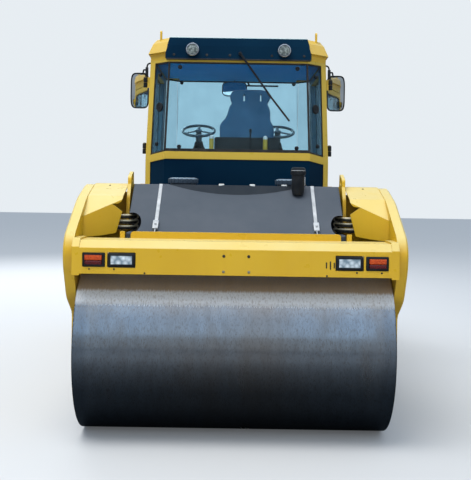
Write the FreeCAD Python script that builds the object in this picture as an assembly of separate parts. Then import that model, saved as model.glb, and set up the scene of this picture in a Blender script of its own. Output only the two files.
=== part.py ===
import FreeCAD, Part
import math
import os

from FreeCAD import Placement, Rotation, Vector

# Tandem road roller, articulated, with two steel drums and a cab. Millimetres.
# Origin on the ground under the steering pivot. +Y is the forward way, +X the machine's right,
# +Z up. Both ends are drawn once, with the distance from the pivot counted outwards, and then
# turned to the rear or the front.

# Drums and axles
WHEELBASE = 3690.0
DRUM_RADIUS = 610.0
DRUM_LENGTH = 2135.0
DRUM_WALL = 24.0
DRUM_EDGE_ROUND = 10.0
BULKHEAD_INSET = 140.0
BULKHEAD_THICKNESS = 26.0
DRIVE_PLATE_RADIUS = 400.0
DRIVE_PLATE_THICKNESS = 20.0
BUFFER_RADIUS = 45.0
BUFFER_LENGTH = 50.0
BUFFER_CIRCLE = 320.0
BUFFER_COUNT = 8
STUB_RADIUS = 90.0
HUB_RUNNING_CLEARANCE = 0.6
MOTOR_RADIUS = 165.0
MOTOR_FLANGE_RADIUS = 235.0
MOTOR_FLANGE_THICKNESS = 28.0

# Frames
DRUM_SIDE_GAP = 8.0
DRUM_FRAME_GAP = 45.0
SIDE_PLATE_THICKNESS = 72.0
SIDE_PLATE_CHAMFER = 12.0
SIDE_PLATE_RISE = 545.0
HUB_END_OUT = 193.0
HUB_END_IN = 250.0
HUB_END_DROP = 230.0
HUB_END_ROUND = 190.0
FRAME_GAP_HALF = 420.0
FRAME_BOTTOM = 470.0
DECK_BELOW_DRUM_TOP = 30.0
DECK_OVER_DRUM = 205.0
DECK_EDGE = 50.0
FRONT_DECK_DROP = 160.0
FRONT_DECK_LENGTH = 380.0

# Steering pivot and swinging bearing
TONGUE_RADIUS = 110.0
TONGUE_ROOT_HALF = 260.0
TONGUE_THICKNESS = 50.0
PIVOT_HEIGHT = 745.0
YOKE_HEIGHT = 260.0
YOKE_HALF = 95.0
YOKE_FACE = 170.0
PIVOT_GAP = 5.0
PIN_RADIUS = 45.0
PIN_CLEARANCE = 0.3
SWING_SHAFT_RADIUS = 70.0
SWING_HOUSING_RADIUS = 130.0
SWING_HOUSING_FACE = YOKE_FACE + 10.0
SWING_SHAFT_END = 600.0

# Steering cylinders
BARREL_PIN_X = 460.0
BARREL_PIN_BACK = 740.0
ROD_EYE_X = 215.0
ROD_EYE_Y = 45.0
CYLINDER_ABOVE_PIVOT = 30.0
BARREL_RADIUS = 50.0
ROD_RADIUS = 28.0
EYE_RADIUS = 42.0
EYE_HALF_HEIGHT = 30.0
BARREL_LENGTH = 520.0
ROD_START = 320.0
CYLINDER_PIN_RADIUS = 20.0
SEAT_GAP = 0.3
POCKET_INNER_X = 272.0
POCKET_OUTER_X = 600.0
POCKET_BACK = 880.0
POCKET_HALF_HEIGHT = 135.0

# End beam
BEAM_BEHIND_DRUM = 8.0
BEAM_BELOW_DECK = 40.0
BEAM_FACE_HEIGHT = 170.0
BEAM_BEVEL_HEIGHT = 48.0
BEAM_BEVEL = 44.0
BEAM_WALL = 12.0
BEAM_DEPTH = 297.0
BEAM_RETURN = 120.0
BEAM_LIP_RISE = 47.0
BEAM_LIP_HALF = 725.0
BEAM_END_PLATE = 50.0
BEAM_END_RAISE = 12.0
BEAM_TAB_X = 782.0
BEAM_TAB_WIDTH = 34.0

# Tank over the rear drum and hood over the front one
HOSE_WAY_WIDTH = 307.5
TANK_RISE = 552.0
TANK_OVER_DRUM = 70.0
TANK_NOSE_HEIGHT = 112.0
TANK_BEAM_GAP = 62.0
TANK_SLOPE_RUN = 448.0
TANK_INNER_END = 1020.0
TANK_EDGE_ROUND = 10.0
BROW_HALF = 500.0
BROW_DEPTH = 92.0
BROW_HEIGHT = 130.0
SCALLOP_RADIUS = 70.0
SCALLOP_IN_FROM_SIDE = 26.0
SCALLOP_ABOVE_NOSE = 64.0
SCALLOP_BEFORE_NOSE = 368.0
HOOD_FRAME_GAP = 12.0
HOOD_WALL = 10.0
CAP_RADIUS = 112.0
CAP_HEIGHT = 56.0
CAP_X = 413.0
CAP_BEFORE_SHOULDER = 200.0
STACK_RADIUS = 56.0
STACK_X = 455.0
STACK_PAST_SHOULDER = 90.0
STACK_RISE = 142.0
STRAP_X = 566.0
STRAP_WIDTH = 24.0
STRAP_THICKNESS = 3.0
TENSIONER_WIDTH = 40.0

# Corner covers and lifting plates beside the tank
COVER_WALL = 8.0
COVER_YAW_DEGREES = 30.5
COVER_BEFORE_BEAM = 114.0
LIFT_PLATE_GAP = 22.0
LIFT_PLATE_THICKNESS = 26.0
LUG_LENGTH = 150.0
LUG_RISE = 102.0
LUG_SLANT = 46.0
LUG_BORE_RADIUS = 25.0
LUG_BORE_BELOW = 66.0

# Lamps in the end beam
CLUSTER_X = 930.0
CLUSTER_WIDTH = 150.0
WORK_LAMP_X = 748.0
WORK_LAMP_WIDTH = 186.0
LAMP_ABOVE_BEAM_BOTTOM = 92.0
CLUSTER_HEIGHT = 94.0
WORK_LAMP_HEIGHT = 100.0
LAMP_PROUD = 8.0
LAMP_DEPTH = 70.0
LAMP_FLANGE = 7.0

# Cab
CAB_MOUNT_HEIGHT = 80.0
PLATFORM_THICKNESS = 50.0
CAB_MOUNT_RADIUS = 60.0
CAB_HALF = 784.0
CAB_REAR = 915.0
CAB_FRONT = 440.0
CAB_HEIGHT = 1480.0
CAB_TAPER = 30.0
CAB_CHAMFER_X = 170.0
CAB_CHAMFER_Y = 180.0
CAB_WALL = 50.0
SILL_RISE = 637.0
SILL_DEPTH = 63.0
SILL_DROP = 28.0
LINTEL = 25.0
POST_WIDTH = 45.0
PANEL_THICKNESS = 20.0
GLASS_THICKNESS = 8.0
GLASS_INSET = 10.0
DOOR_REAR = -655.0
DOOR_FRONT = 190.0
DOOR_SILL_RISE = 50.0
DOOR_GAP = 8.0
DOOR_RAIL = 55.0
HINGE_OUT = 16.0
HINGE_BACK = 17.0
HINGE_PIN_RADIUS = 8.0
HINGE_KNUCKLE_RADIUS = 15.0
HINGE_KNUCKLE_LENGTH = 45.0
HINGE_DROPS = (1240.0, 752.0, 180.0)
SILL_POST_X = (-216.0, 237.0)
SILL_POST_RADIUS = 19.0
SILL_POST_RISE = 140.0

# Roof
ROOF_OVERHANG = 20.0
ROOF_LIP_RISE = 57.0
ROOF_SHOULDER_RISE = 149.0
ROOF_SHOULDER_INSET = 16.0
ROOF_RISE = 192.0
ROOF_TOP_INSET = 48.0
VISOR_FROM_SIDE = 175.0
VISOR_TOP_FROM_SIDE = 207.0
VISOR_RISE = 180.0
VISOR_LEAN = 34.0
VISOR_CREASE_RISE = 112.0
VISOR_PROUD = 6.0
ROOF_EYE_RISE = 73.0
ROOF_EYE_RADIUS = 22.0
ROOF_EYE_BORE = 12.0
ROOF_EYE_THICKNESS = 16.0
ROOF_EYE_FROM_SIDE = 116.0
ROOF_EYE_IN = 215.0
ROOF_LAMP_FROM_SIDE = 400.0
ROOF_LAMP_RADIUS = 56.0
ROOF_LAMP_RISE = 72.0
ROOF_LAMP_LENGTH = 62.0

# Inside the cab
SEAT_X = 90.0
SEAT_Y = -420.0
SEAT_WIDTH = 460.0
CUSHION_RISE = 520.0
BACKREST_RISE = 727.0
BACKREST_THICKNESS = 125.0
HEADREST_HEIGHT = 117.0
REAR_BOX = (-193.0, 357.0, -845.0, -765.0)
REAR_BOX_RISE = 828.0
WHEEL_MIDDLE_X = 10.0
WHEEL_X = 375.0
WHEEL_Y = 40.0
WHEEL_RISE = 934.0
WHEEL_RADIUS = 150.0
WHEEL_RIM_RADIUS = 13.0
WHEEL_TILT_DEGREES = 23.0
WHEEL_HUB_BELOW = 16.0
INNER_MIRROR_X = -32.0

# Places that follow from the sizes above
AXLE_OUT = WHEELBASE / 2
AXLE_HEIGHT = DRUM_RADIUS
DRUM_HALF = DRUM_LENGTH / 2
PLATE_INNER = DRUM_HALF + DRUM_SIDE_GAP
PLATE_OUTER = PLATE_INNER + SIDE_PLATE_THICKNESS
BULKHEAD_OUTER = DRUM_HALF - BULKHEAD_INSET
DRIVE_PLATE_INNER = BULKHEAD_OUTER + BUFFER_LENGTH
DRIVE_PLATE_OUTER = DRIVE_PLATE_INNER + DRIVE_PLATE_THICKNESS
FRAME_OUTER_END = AXLE_OUT - DRUM_RADIUS - DRUM_FRAME_GAP
DECK_HEIGHT = 2 * DRUM_RADIUS - DECK_BELOW_DRUM_TOP
DECK_END = AXLE_OUT - DRUM_RADIUS + DECK_OVER_DRUM
FRONT_DECK_HEIGHT = DECK_HEIGHT - FRONT_DECK_DROP
SIDE_PLATE_TOP = DECK_HEIGHT + SIDE_PLATE_RISE
CYLINDER_HEIGHT = PIVOT_HEIGHT + CYLINDER_ABOVE_PIVOT
BEAM_FACE = AXLE_OUT + DRUM_RADIUS - BEAM_BEHIND_DRUM
BEAM_INNER_EDGE = BEAM_FACE - BEAM_DEPTH
BEAM_BOTTOM = DECK_HEIGHT - BEAM_BELOW_DECK
BEAM_FACE_TOP = BEAM_BOTTOM + BEAM_FACE_HEIGHT
BEAM_TOP = BEAM_FACE_TOP + BEAM_BEVEL_HEIGHT
BEAM_LIP_TOP = BEAM_TOP + BEAM_LIP_RISE
LAMP_MIDDLE = BEAM_BOTTOM + LAMP_ABOVE_BEAM_BOTTOM
TANK_HALF = PLATE_INNER - HOSE_WAY_WIDTH
TANK_TOP = DECK_HEIGHT + TANK_RISE
TANK_BOTTOM = 2 * DRUM_RADIUS + TANK_OVER_DRUM
TANK_NOSE_TOP = TANK_BOTTOM + TANK_NOSE_HEIGHT
TANK_NOSE = BEAM_INNER_EDGE - TANK_BEAM_GAP
TANK_SHOULDER = TANK_NOSE - TANK_SLOPE_RUN
SCALLOP_X = TANK_HALF - SCALLOP_IN_FROM_SIDE
SCALLOP_HEIGHT = TANK_NOSE_TOP + SCALLOP_ABOVE_NOSE
SCALLOP_START = TANK_NOSE - SCALLOP_BEFORE_NOSE
HOOD_INNER_END = FRAME_GAP_HALF + FRONT_DECK_LENGTH + HOOD_FRAME_GAP
LIFT_PLATE_X = TANK_HALF + LIFT_PLATE_GAP
LIFT_PLATE_OUTER = LIFT_PLATE_X + LIFT_PLATE_THICKNESS
LUG_OUT = TANK_SHOULDER - LUG_LENGTH / 2
CAB_BASE = DECK_HEIGHT + CAB_MOUNT_HEIGHT + PLATFORM_THICKNESS
CAB_EAVE = CAB_BASE + CAB_HEIGHT
SILL_BOTTOM = CAB_BASE + SILL_RISE
SILL_TOP = SILL_BOTTOM + SILL_DEPTH
GLASS_TOP = CAB_EAVE - LINTEL
DOOR_SILL = CAB_BASE + DOOR_SILL_RISE
CUSHION_TOP = CAB_BASE + CUSHION_RISE
WHEEL_HEIGHT = CAB_BASE + WHEEL_RISE
PANE_JOINT = CAB_HALF - CAB_TAPER / 2 - CAB_CHAMFER_X
ROOF_LIP_HEIGHT = CAB_EAVE + ROOF_LIP_RISE
ROOF_TOP = CAB_EAVE + ROOF_RISE
VISOR_HALF = CAB_HALF - VISOR_FROM_SIDE
VISOR_TOP_HALF = CAB_HALF - VISOR_TOP_FROM_SIDE
ROOF_EYE_X = CAB_HALF - ROOF_EYE_FROM_SIDE
ROOF_LAMP_X = CAB_HALF - ROOF_LAMP_FROM_SIDE
ROOF_LAMP_HEIGHT = CAB_EAVE + ROOF_LAMP_RISE

REAR_TURN = Rotation(Vector(0, 0, 1), 180)


def rounded_wire(points, place):
    """Closed wire through corners (a, b, radius); place turns (a, b) into a point."""
    count = len(points)
    starts = []
    edges = []
    for index in range(count):
        here = Vector(points[index][0], points[index][1], 0)
        before = Vector(points[index - 1][0], points[index - 1][1], 0)
        after = Vector(points[(index + 1) % count][0], points[(index + 1) % count][1], 0)
        radius = points[index][2]
        back = (before - here).normalize()
        ahead = (after - here).normalize()
        half_angle = back.getAngle(ahead) / 2
        if radius <= 0 or half_angle > math.pi / 2 - 1e-4:
            starts.append((here, here, here))
            continue
        reach = radius / math.tan(half_angle)
        middle = here + (back + ahead).normalize() * (radius / math.sin(half_angle) - radius)
        starts.append((here + back * reach, middle, here + ahead * reach))
    for index in range(count):
        enter, middle, leave = starts[index]
        following = starts[(index + 1) % count][0]
        if (leave - enter).Length > 1e-6:
            edges.append(Part.Arc(place(enter), place(middle), place(leave)).toShape())
        if (following - leave).Length > 1e-6:
            edges.append(Part.LineSegment(place(leave), place(following)).toShape())
    return Part.Wire(edges)


def prism_x(points, x_low, x_high):
    """Outline of (y, z, radius) corners, drawn out along X."""
    wire = rounded_wire(points, lambda p: Vector(x_low, p.x, p.y))
    return Part.Face(wire).extrude(Vector(x_high - x_low, 0, 0))


def prism_y(points, y_low, y_high):
    """Outline of (x, z, radius) corners, drawn out along Y."""
    wire = rounded_wire(points, lambda p: Vector(p.x, y_low, p.y))
    return Part.Face(wire).extrude(Vector(0, y_high - y_low, 0))


def prism_z(points, z_low, z_high):
    """Outline of (x, y, radius) corners, drawn out along Z."""
    wire = rounded_wire(points, lambda p: Vector(p.x, p.y, z_low))
    return Part.Face(wire).extrude(Vector(0, 0, z_high - z_low))


def block(x_low, x_high, y_low, y_high, z_low, z_high):
    corner = Vector(x_low, y_low, z_low)
    return Part.makeBox(x_high - x_low, y_high - y_low, z_high - z_low, corner)


def bar(start, end, radius):
    """Round bar between two points."""
    return Part.makeCylinder(radius, (end - start).Length, start, end - start)


def fused(shapes):
    whole = shapes[0].fuse(shapes[1:]) if len(shapes) > 1 else shapes[0]
    return whole.removeSplitter()


def mirrored(shape):
    """The same piece on the other side of the machine."""
    return shape.mirror(Vector(0, 0, 0), Vector(1, 0, 0))


def both_sides(shape):
    return Part.Compound([shape, mirrored(shape)])


def rear(shape):
    """Turns an end that was drawn along +Y to the rear of the machine."""
    turned = shape.copy()
    turned.Placement = Placement(Vector(0, 0, 0), REAR_TURN).multiply(turned.Placement)
    return turned


def rounded_rectangle(low_a, high_a, low_b, high_b, radius):
    return [
        (low_a, low_b, radius),
        (high_a, low_b, radius),
        (high_a, high_b, radius),
        (low_a, high_b, radius),
    ]


def save(name, shape):
    shape.exportStep("parts/" + name + ".step")
    print(name, len(shape.Solids), round(shape.Volume / 1e6, 2))


def drum():
    """Steel drum with recessed end plates, drive plates and rubber buffers, at the front axle."""
    bore = STUB_RADIUS + HUB_RUNNING_CLEARANCE
    half = [
        (0, DRUM_RADIUS, 0),
        (DRUM_HALF, DRUM_RADIUS, DRUM_EDGE_ROUND),
        (DRUM_HALF, DRUM_RADIUS - DRUM_WALL, 0),
        (BULKHEAD_OUTER, DRUM_RADIUS - DRUM_WALL, 0),
        (BULKHEAD_OUTER, bore, 0),
        (BULKHEAD_OUTER - BULKHEAD_THICKNESS, bore, 0),
        (BULKHEAD_OUTER - BULKHEAD_THICKNESS, DRUM_RADIUS - DRUM_WALL, 0),
        (0, DRUM_RADIUS - DRUM_WALL, 0),
    ]
    outline = rounded_wire(half, lambda p: Vector(p.x, 0, p.y))
    end = Part.Face(outline).revolve(Vector(0, 0, 0), Vector(1, 0, 0), 360)
    across = Vector(1, 0, 0)
    plate_start = Vector(DRIVE_PLATE_INNER, 0, 0)
    plate = Part.makeCylinder(DRIVE_PLATE_RADIUS, DRIVE_PLATE_THICKNESS, plate_start, across)
    plate = plate.cut(Part.makeCylinder(bore, DRIVE_PLATE_THICKNESS, plate_start, across))
    pieces = [end, plate]
    for number in range(BUFFER_COUNT):
        angle = 2 * math.pi * number / BUFFER_COUNT
        across_y = BUFFER_CIRCLE * math.cos(angle)
        up_z = BUFFER_CIRCLE * math.sin(angle)
        start = Vector(BULKHEAD_OUTER, across_y, up_z)
        pieces.append(Part.makeCylinder(BUFFER_RADIUS, BUFFER_LENGTH, start, across))
    right = fused(pieces)
    whole = fused([right, mirrored(right)])
    whole.translate(Vector(0, AXLE_OUT, AXLE_HEIGHT))
    return whole


def hub_carriers():
    """Travel motors bolted to the side plates, each with the stub that the drum turns on."""
    flange_end = PLATE_INNER - MOTOR_FLANGE_THICKNESS
    motor_end = DRIVE_PLATE_OUTER + 12
    stub_end = BULKHEAD_OUTER - BULKHEAD_THICKNESS - 20
    outline = [
        (PLATE_INNER, 0, 0),
        (PLATE_INNER, MOTOR_FLANGE_RADIUS, 0),
        (flange_end, MOTOR_FLANGE_RADIUS, 0),
        (flange_end, MOTOR_RADIUS, 6),
        (motor_end, MOTOR_RADIUS, 10),
        (motor_end, STUB_RADIUS, 0),
        (stub_end, STUB_RADIUS, 8),
        (stub_end, 0, 0),
    ]
    wire = rounded_wire(outline, lambda p: Vector(p.x, 0, p.y))
    carrier = Part.Face(wire).revolve(Vector(0, 0, 0), Vector(1, 0, 0), 360)
    carrier.translate(Vector(0, AXLE_OUT, AXLE_HEIGHT))
    return both_sides(carrier)


def side_outline(deck):
    """Side plate seen from the side: (out, up, corner radius), without the round hub end."""
    return [
        (FRAME_GAP_HALF, FRAME_BOTTOM, 60),
        (FRAME_GAP_HALF, deck - 40, 80),
        (FRAME_GAP_HALF + 280, deck, 140),
        (FRAME_GAP_HALF + 540, DECK_HEIGHT + 80, 180),
        (FRAME_GAP_HALF + 700, SIDE_PLATE_TOP, 160),
        (AXLE_OUT - 255, SIDE_PLATE_TOP, 300),
        (AXLE_OUT + 64, SIDE_PLATE_TOP - 93, 600),
        (BEAM_FACE - 45, BEAM_TOP, 175),
        (BEAM_FACE - 75, BEAM_BOTTOM + 30, 220),
        (BEAM_FACE - 195, AXLE_HEIGHT + 352, 200),
        (AXLE_OUT + HUB_END_OUT, AXLE_HEIGHT + 215, 60),
        (AXLE_OUT + HUB_END_OUT, AXLE_HEIGHT - HUB_END_DROP, HUB_END_ROUND),
        (AXLE_OUT - HUB_END_IN, AXLE_HEIGHT - HUB_END_DROP, HUB_END_ROUND),
        (AXLE_OUT - HUB_END_IN - 60, AXLE_HEIGHT + 450, 130),
        (FRAME_OUTER_END, AXLE_HEIGHT + 480, 110),
        (FRAME_OUTER_END, FRAME_BOTTOM, 60),
    ]


def side_plates(deck):
    """Thick outer plates with a chamfered rim, which carry the drum at their round lower ends."""
    inner = PLATE_INNER
    plate = prism_x(side_outline(deck), inner, PLATE_OUTER)
    outer_edges = []
    for edge in plate.Edges:
        box = edge.BoundBox
        if box.XMin > PLATE_OUTER - 0.1:
            outer_edges.append(edge)
    return both_sides(plate.makeChamfer(SIDE_PLATE_CHAMFER, outer_edges))


def beam_section(raise_by):
    wall = BEAM_WALL
    face = BEAM_FACE
    return [
        (face, BEAM_BOTTOM - raise_by, 0),
        (face, BEAM_FACE_TOP + raise_by / 2, 6),
        (face - BEAM_BEVEL, BEAM_TOP + raise_by, 6),
        (BEAM_INNER_EDGE, BEAM_TOP + raise_by, 0),
        (BEAM_INNER_EDGE, BEAM_TOP - wall, 0),
        (face - BEAM_BEVEL - wall / 2, BEAM_TOP - wall, 0),
        (face - wall, BEAM_FACE_TOP - wall / 2, 0),
        (face - wall, BEAM_BOTTOM + wall, 0),
        (face - BEAM_RETURN, BEAM_BOTTOM + wall, 0),
        (face - BEAM_RETURN, BEAM_BOTTOM - raise_by, 0),
    ]


LAMP_TABLE = (
    # middle x, width, height
    (CLUSTER_X, CLUSTER_WIDTH, CLUSTER_HEIGHT),
    (WORK_LAMP_X, WORK_LAMP_WIDTH, WORK_LAMP_HEIGHT),
)


def end_beam():
    """Folded cross beam at the end of the machine, with lamp openings and a lip behind it."""
    end_inner = PLATE_INNER - BEAM_END_PLATE
    beam = prism_x(beam_section(0), -end_inner, end_inner)
    pieces = [beam]
    for side in (-1, 1):
        low, high = sorted((side * end_inner, side * PLATE_INNER))
        full = [
            (BEAM_FACE, BEAM_BOTTOM - BEAM_END_RAISE, 0),
            (BEAM_FACE, BEAM_FACE_TOP + BEAM_END_RAISE / 2, 6),
            (BEAM_FACE - BEAM_BEVEL, BEAM_TOP + BEAM_END_RAISE, 6),
            (BEAM_INNER_EDGE, BEAM_TOP + BEAM_END_RAISE, 20),
            (BEAM_INNER_EDGE + 60, BEAM_BOTTOM - BEAM_END_RAISE, 30),
        ]
        pieces.append(prism_x(full, low, high))
    lip_low = BEAM_TOP - BEAM_WALL
    lip = prism_y(
        [
            (-BEAM_LIP_HALF, lip_low, 0),
            (BEAM_LIP_HALF, lip_low, 0),
            (BEAM_LIP_HALF, BEAM_LIP_TOP, 22),
            (-BEAM_LIP_HALF, BEAM_LIP_TOP, 22),
        ],
        BEAM_INNER_EDGE,
        BEAM_INNER_EDGE + BEAM_WALL,
    )
    pieces.append(lip)
    for side in (-1, 1):
        low, high = sorted(
            (side * (BEAM_TAB_X - BEAM_TAB_WIDTH / 2), side * (BEAM_TAB_X + BEAM_TAB_WIDTH / 2))
        )
        inner = BEAM_INNER_EDGE
        pieces.append(block(low, high, inner, inner + BEAM_WALL, lip_low, BEAM_LIP_TOP))
    whole = fused(pieces)
    for middle, width, height in LAMP_TABLE:
        for side in (-1, 1):
            low, high = sorted((side * (middle - width / 2), side * (middle + width / 2)))
            opening = rounded_rectangle(
                low, high, LAMP_MIDDLE - height / 2, LAMP_MIDDLE + height / 2, 6
            )
            whole = whole.cut(prism_y(opening, BEAM_FACE - 2 * BEAM_WALL, BEAM_FACE + 1))
    return whole


def end_lamps():
    """Two lamps each side, pushed into the beam from outside, with a flange on its face."""
    lamps = []
    for middle, width, height in LAMP_TABLE:
        clear = SEAT_GAP
        body = prism_y(
            rounded_rectangle(
                middle - width / 2 + clear,
                middle + width / 2 - clear,
                LAMP_MIDDLE - height / 2 + clear,
                LAMP_MIDDLE + height / 2 - clear,
                6,
            ),
            BEAM_FACE - LAMP_DEPTH,
            BEAM_FACE + LAMP_PROUD,
        )
        flange = prism_y(
            rounded_rectangle(
                middle - width / 2 - LAMP_FLANGE,
                middle + width / 2 + LAMP_FLANGE,
                LAMP_MIDDLE - height / 2 - LAMP_FLANGE,
                LAMP_MIDDLE + height / 2 + LAMP_FLANGE,
                12,
            ),
            BEAM_FACE,
            BEAM_FACE + LAMP_PROUD,
        )
        lamp = fused([body, flange])
        lamps.extend([lamp, mirrored(lamp)])
    return Part.Compound(lamps)


def centre_frame(deck_steps):
    """Cross box between drum and pivot. deck_steps are the (out, up, radius) deck corners."""
    outline = [(FRAME_GAP_HALF, FRAME_BOTTOM, 40)]
    outline.extend(deck_steps)
    outline.extend(
        [
            (DECK_END, DECK_HEIGHT, 20),
            (DECK_END, DECK_HEIGHT - DECK_EDGE, 15),
            (FRAME_OUTER_END, AXLE_HEIGHT + 450, 90),
            (FRAME_OUTER_END, FRAME_BOTTOM, 60),
        ]
    )
    return prism_x(outline, -PLATE_INNER, PLATE_INNER)


PIVOT_LOW = PIVOT_HEIGHT - YOKE_HEIGHT / 2
PIVOT_HIGH = PIVOT_HEIGHT + YOKE_HEIGHT / 2


def barrel_pin(side):
    return Vector(side * BARREL_PIN_X, -BARREL_PIN_BACK, CYLINDER_HEIGHT)


def rod_eye(side):
    return Vector(side * ROD_EYE_X, ROD_EYE_Y, CYLINDER_HEIGHT)


def rear_centre_frame():
    """Rear cross box with the two tongue plates of the steering pivot and cylinder pockets."""
    whole = rear(centre_frame([(FRAME_GAP_HALF, DECK_HEIGHT, 40)]))
    pieces = [whole]
    plate_heights = (
        (PIVOT_LOW - PIVOT_GAP - TONGUE_THICKNESS, PIVOT_LOW - PIVOT_GAP),
        (PIVOT_HIGH + PIVOT_GAP, PIVOT_HIGH + PIVOT_GAP + TONGUE_THICKNESS),
    )
    root = -FRAME_GAP_HALF - 20
    for low, high in plate_heights:
        side_reach = TONGUE_RADIUS
        tongue = prism_z(
            [
                (-TONGUE_ROOT_HALF, root, 0),
                (TONGUE_ROOT_HALF, root, 0),
                (side_reach, 0, 0),
                (-side_reach, 0, 0),
            ],
            low,
            high,
        )
        nose = Part.makeCylinder(TONGUE_RADIUS, high - low, Vector(0, 0, low))
        pieces.extend([tongue, nose])
    whole = fused(pieces)
    bore_low = plate_heights[0][0] - 1
    bore_high = plate_heights[1][1] + 1
    bore = Part.makeCylinder(
        PIN_RADIUS + PIN_CLEARANCE, bore_high - bore_low, Vector(0, 0, bore_low)
    )
    whole = whole.cut(bore)
    pins = []
    for side in (-1, 1):
        low_x, high_x = sorted((side * POCKET_INNER_X, side * POCKET_OUTER_X))
        pocket = prism_z(
            [
                (low_x, -POCKET_BACK, 40),
                (high_x, -POCKET_BACK, 40),
                (high_x, -FRAME_GAP_HALF + 10, 0),
                (low_x, -FRAME_GAP_HALF + 10, 0),
            ],
            CYLINDER_HEIGHT - POCKET_HALF_HEIGHT,
            CYLINDER_HEIGHT + POCKET_HALF_HEIGHT,
        )
        whole = whole.cut(pocket)
        centre = barrel_pin(side)
        floor = centre.z - POCKET_HALF_HEIGHT - 5
        height = 2 * POCKET_HALF_HEIGHT + 10
        pins.append(
            Part.makeCylinder(CYLINDER_PIN_RADIUS, height, Vector(centre.x, centre.y, floor))
        )
        seat_radius = EYE_RADIUS - 6
        seat_height = POCKET_HALF_HEIGHT - EYE_HALF_HEIGHT - SEAT_GAP + 5
        lower = Vector(centre.x, centre.y, floor)
        upper = Vector(centre.x, centre.y, centre.z + EYE_HALF_HEIGHT + SEAT_GAP)
        pins.append(Part.makeCylinder(seat_radius, seat_height, lower))
        pins.append(Part.makeCylinder(seat_radius, seat_height, upper))
    return fused([whole] + pins)


def articulation_yoke():
    """Middle piece of the joint: steering pins, cylinder arms and the swinging shaft."""
    half = YOKE_HALF
    body = prism_z(
        [
            (-half, -half, 40),
            (half, -half, 40),
            (half, YOKE_FACE, 10),
            (-half, YOKE_FACE, 10),
        ],
        PIVOT_LOW,
        PIVOT_HIGH,
    )
    pin_low = PIVOT_LOW - PIVOT_GAP - TONGUE_THICKNESS - 6
    pin_high = PIVOT_HIGH + PIVOT_GAP + TONGUE_THICKNESS + 6
    pin = Part.makeCylinder(PIN_RADIUS, pin_high - pin_low, Vector(0, 0, pin_low))
    boss_radius = PIN_RADIUS + 30
    boss_low = PIVOT_LOW - PIVOT_GAP + SEAT_GAP
    boss_high = PIVOT_HIGH + PIVOT_GAP - SEAT_GAP
    boss = Part.makeCylinder(boss_radius, boss_high - boss_low, Vector(0, 0, boss_low))
    arm_top = CYLINDER_HEIGHT - EYE_HALF_HEIGHT - SEAT_GAP
    arm_low = arm_top - 30
    pieces = [body, pin, boss]
    for side in (-1, 1):
        eye = rod_eye(side)
        arm = prism_z(
            [
                (0, ROD_EYE_Y - 70, 0),
                (eye.x, ROD_EYE_Y - 50, 0),
                (eye.x, ROD_EYE_Y + 50, 0),
                (0, ROD_EYE_Y + 70, 0),
            ],
            arm_low,
            arm_top,
        )
        end = Part.makeCylinder(50, arm_top - arm_low, Vector(eye.x, eye.y, arm_low))
        pieces.extend([arm, end])
    shaft_start = Vector(0, YOKE_FACE - 20, PIVOT_HEIGHT)
    shaft_length = SWING_SHAFT_END - YOKE_FACE + 20
    pieces.append(
        Part.makeCylinder(SWING_SHAFT_RADIUS, shaft_length, shaft_start, Vector(0, 1, 0))
    )
    collar_length = SWING_HOUSING_FACE - SEAT_GAP - YOKE_FACE + 20
    pieces.append(
        Part.makeCylinder(
            SWING_SHAFT_RADIUS + 25, collar_length, shaft_start, Vector(0, 1, 0)
        )
    )
    return fused(pieces)


def front_centre_frame():
    """Front cross box with the housing that the yoke's shaft swings in."""
    deck_end = FRAME_GAP_HALF + FRONT_DECK_LENGTH
    box = centre_frame(
        [
            (FRAME_GAP_HALF, FRONT_DECK_HEIGHT, 40),
            (deck_end, FRONT_DECK_HEIGHT, 20),
            (deck_end, DECK_HEIGHT, 20),
        ]
    )
    along = Vector(0, 1, 0)
    face = Vector(0, SWING_HOUSING_FACE, PIVOT_HEIGHT)
    length = FRAME_GAP_HALF - SWING_HOUSING_FACE + 20
    housing = Part.makeCylinder(SWING_HOUSING_RADIUS, length, face, along)
    whole = fused([box, housing])
    bore_length = SWING_SHAFT_END - SWING_HOUSING_FACE + 5
    bore = Part.makeCylinder(SWING_SHAFT_RADIUS + PIN_CLEARANCE, bore_length, face, along)
    return whole.cut(bore)


def cylinder_frame(side):
    """Placement with local X along the steering cylinder, from its pin to its rod's eye."""
    start = barrel_pin(side)
    direction = rod_eye(side) - start
    return Placement(start, Rotation(Vector(1, 0, 0), direction))


def cylinder_length():
    return (rod_eye(1) - barrel_pin(1)).Length


def eye_ring(centre_x):
    low = Vector(centre_x, 0, -EYE_HALF_HEIGHT)
    return Part.makeCylinder(EYE_RADIUS, 2 * EYE_HALF_HEIGHT, low)


def steering_barrel(side):
    """Cylinder barrel with its eye, gland and open bore for the rod."""
    along = Vector(1, 0, 0)
    tube = Part.makeCylinder(BARREL_RADIUS, BARREL_LENGTH - 40, Vector(40, 0, 0), along)
    gland_start = Vector(BARREL_LENGTH - 45, 0, 0)
    gland = Part.makeCylinder(BARREL_RADIUS + 8, 45, gland_start, along)
    neck = Part.makeCylinder(EYE_HALF_HEIGHT, 60, Vector(0, 0, 0), along)
    barrel = fused([eye_ring(0), neck, tube, gland])
    bore_start = Vector(140, 0, 0)
    bore = Part.makeCylinder(ROD_RADIUS + PIN_CLEARANCE, BARREL_LENGTH, bore_start, along)
    barrel = barrel.cut(bore)
    pin_hole = Part.makeCylinder(
        CYLINDER_PIN_RADIUS + PIN_CLEARANCE, 4 * EYE_HALF_HEIGHT, Vector(0, 0, -2 * EYE_HALF_HEIGHT)
    )
    barrel = barrel.cut(pin_hole)
    barrel.Placement = cylinder_frame(side)
    return barrel


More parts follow.
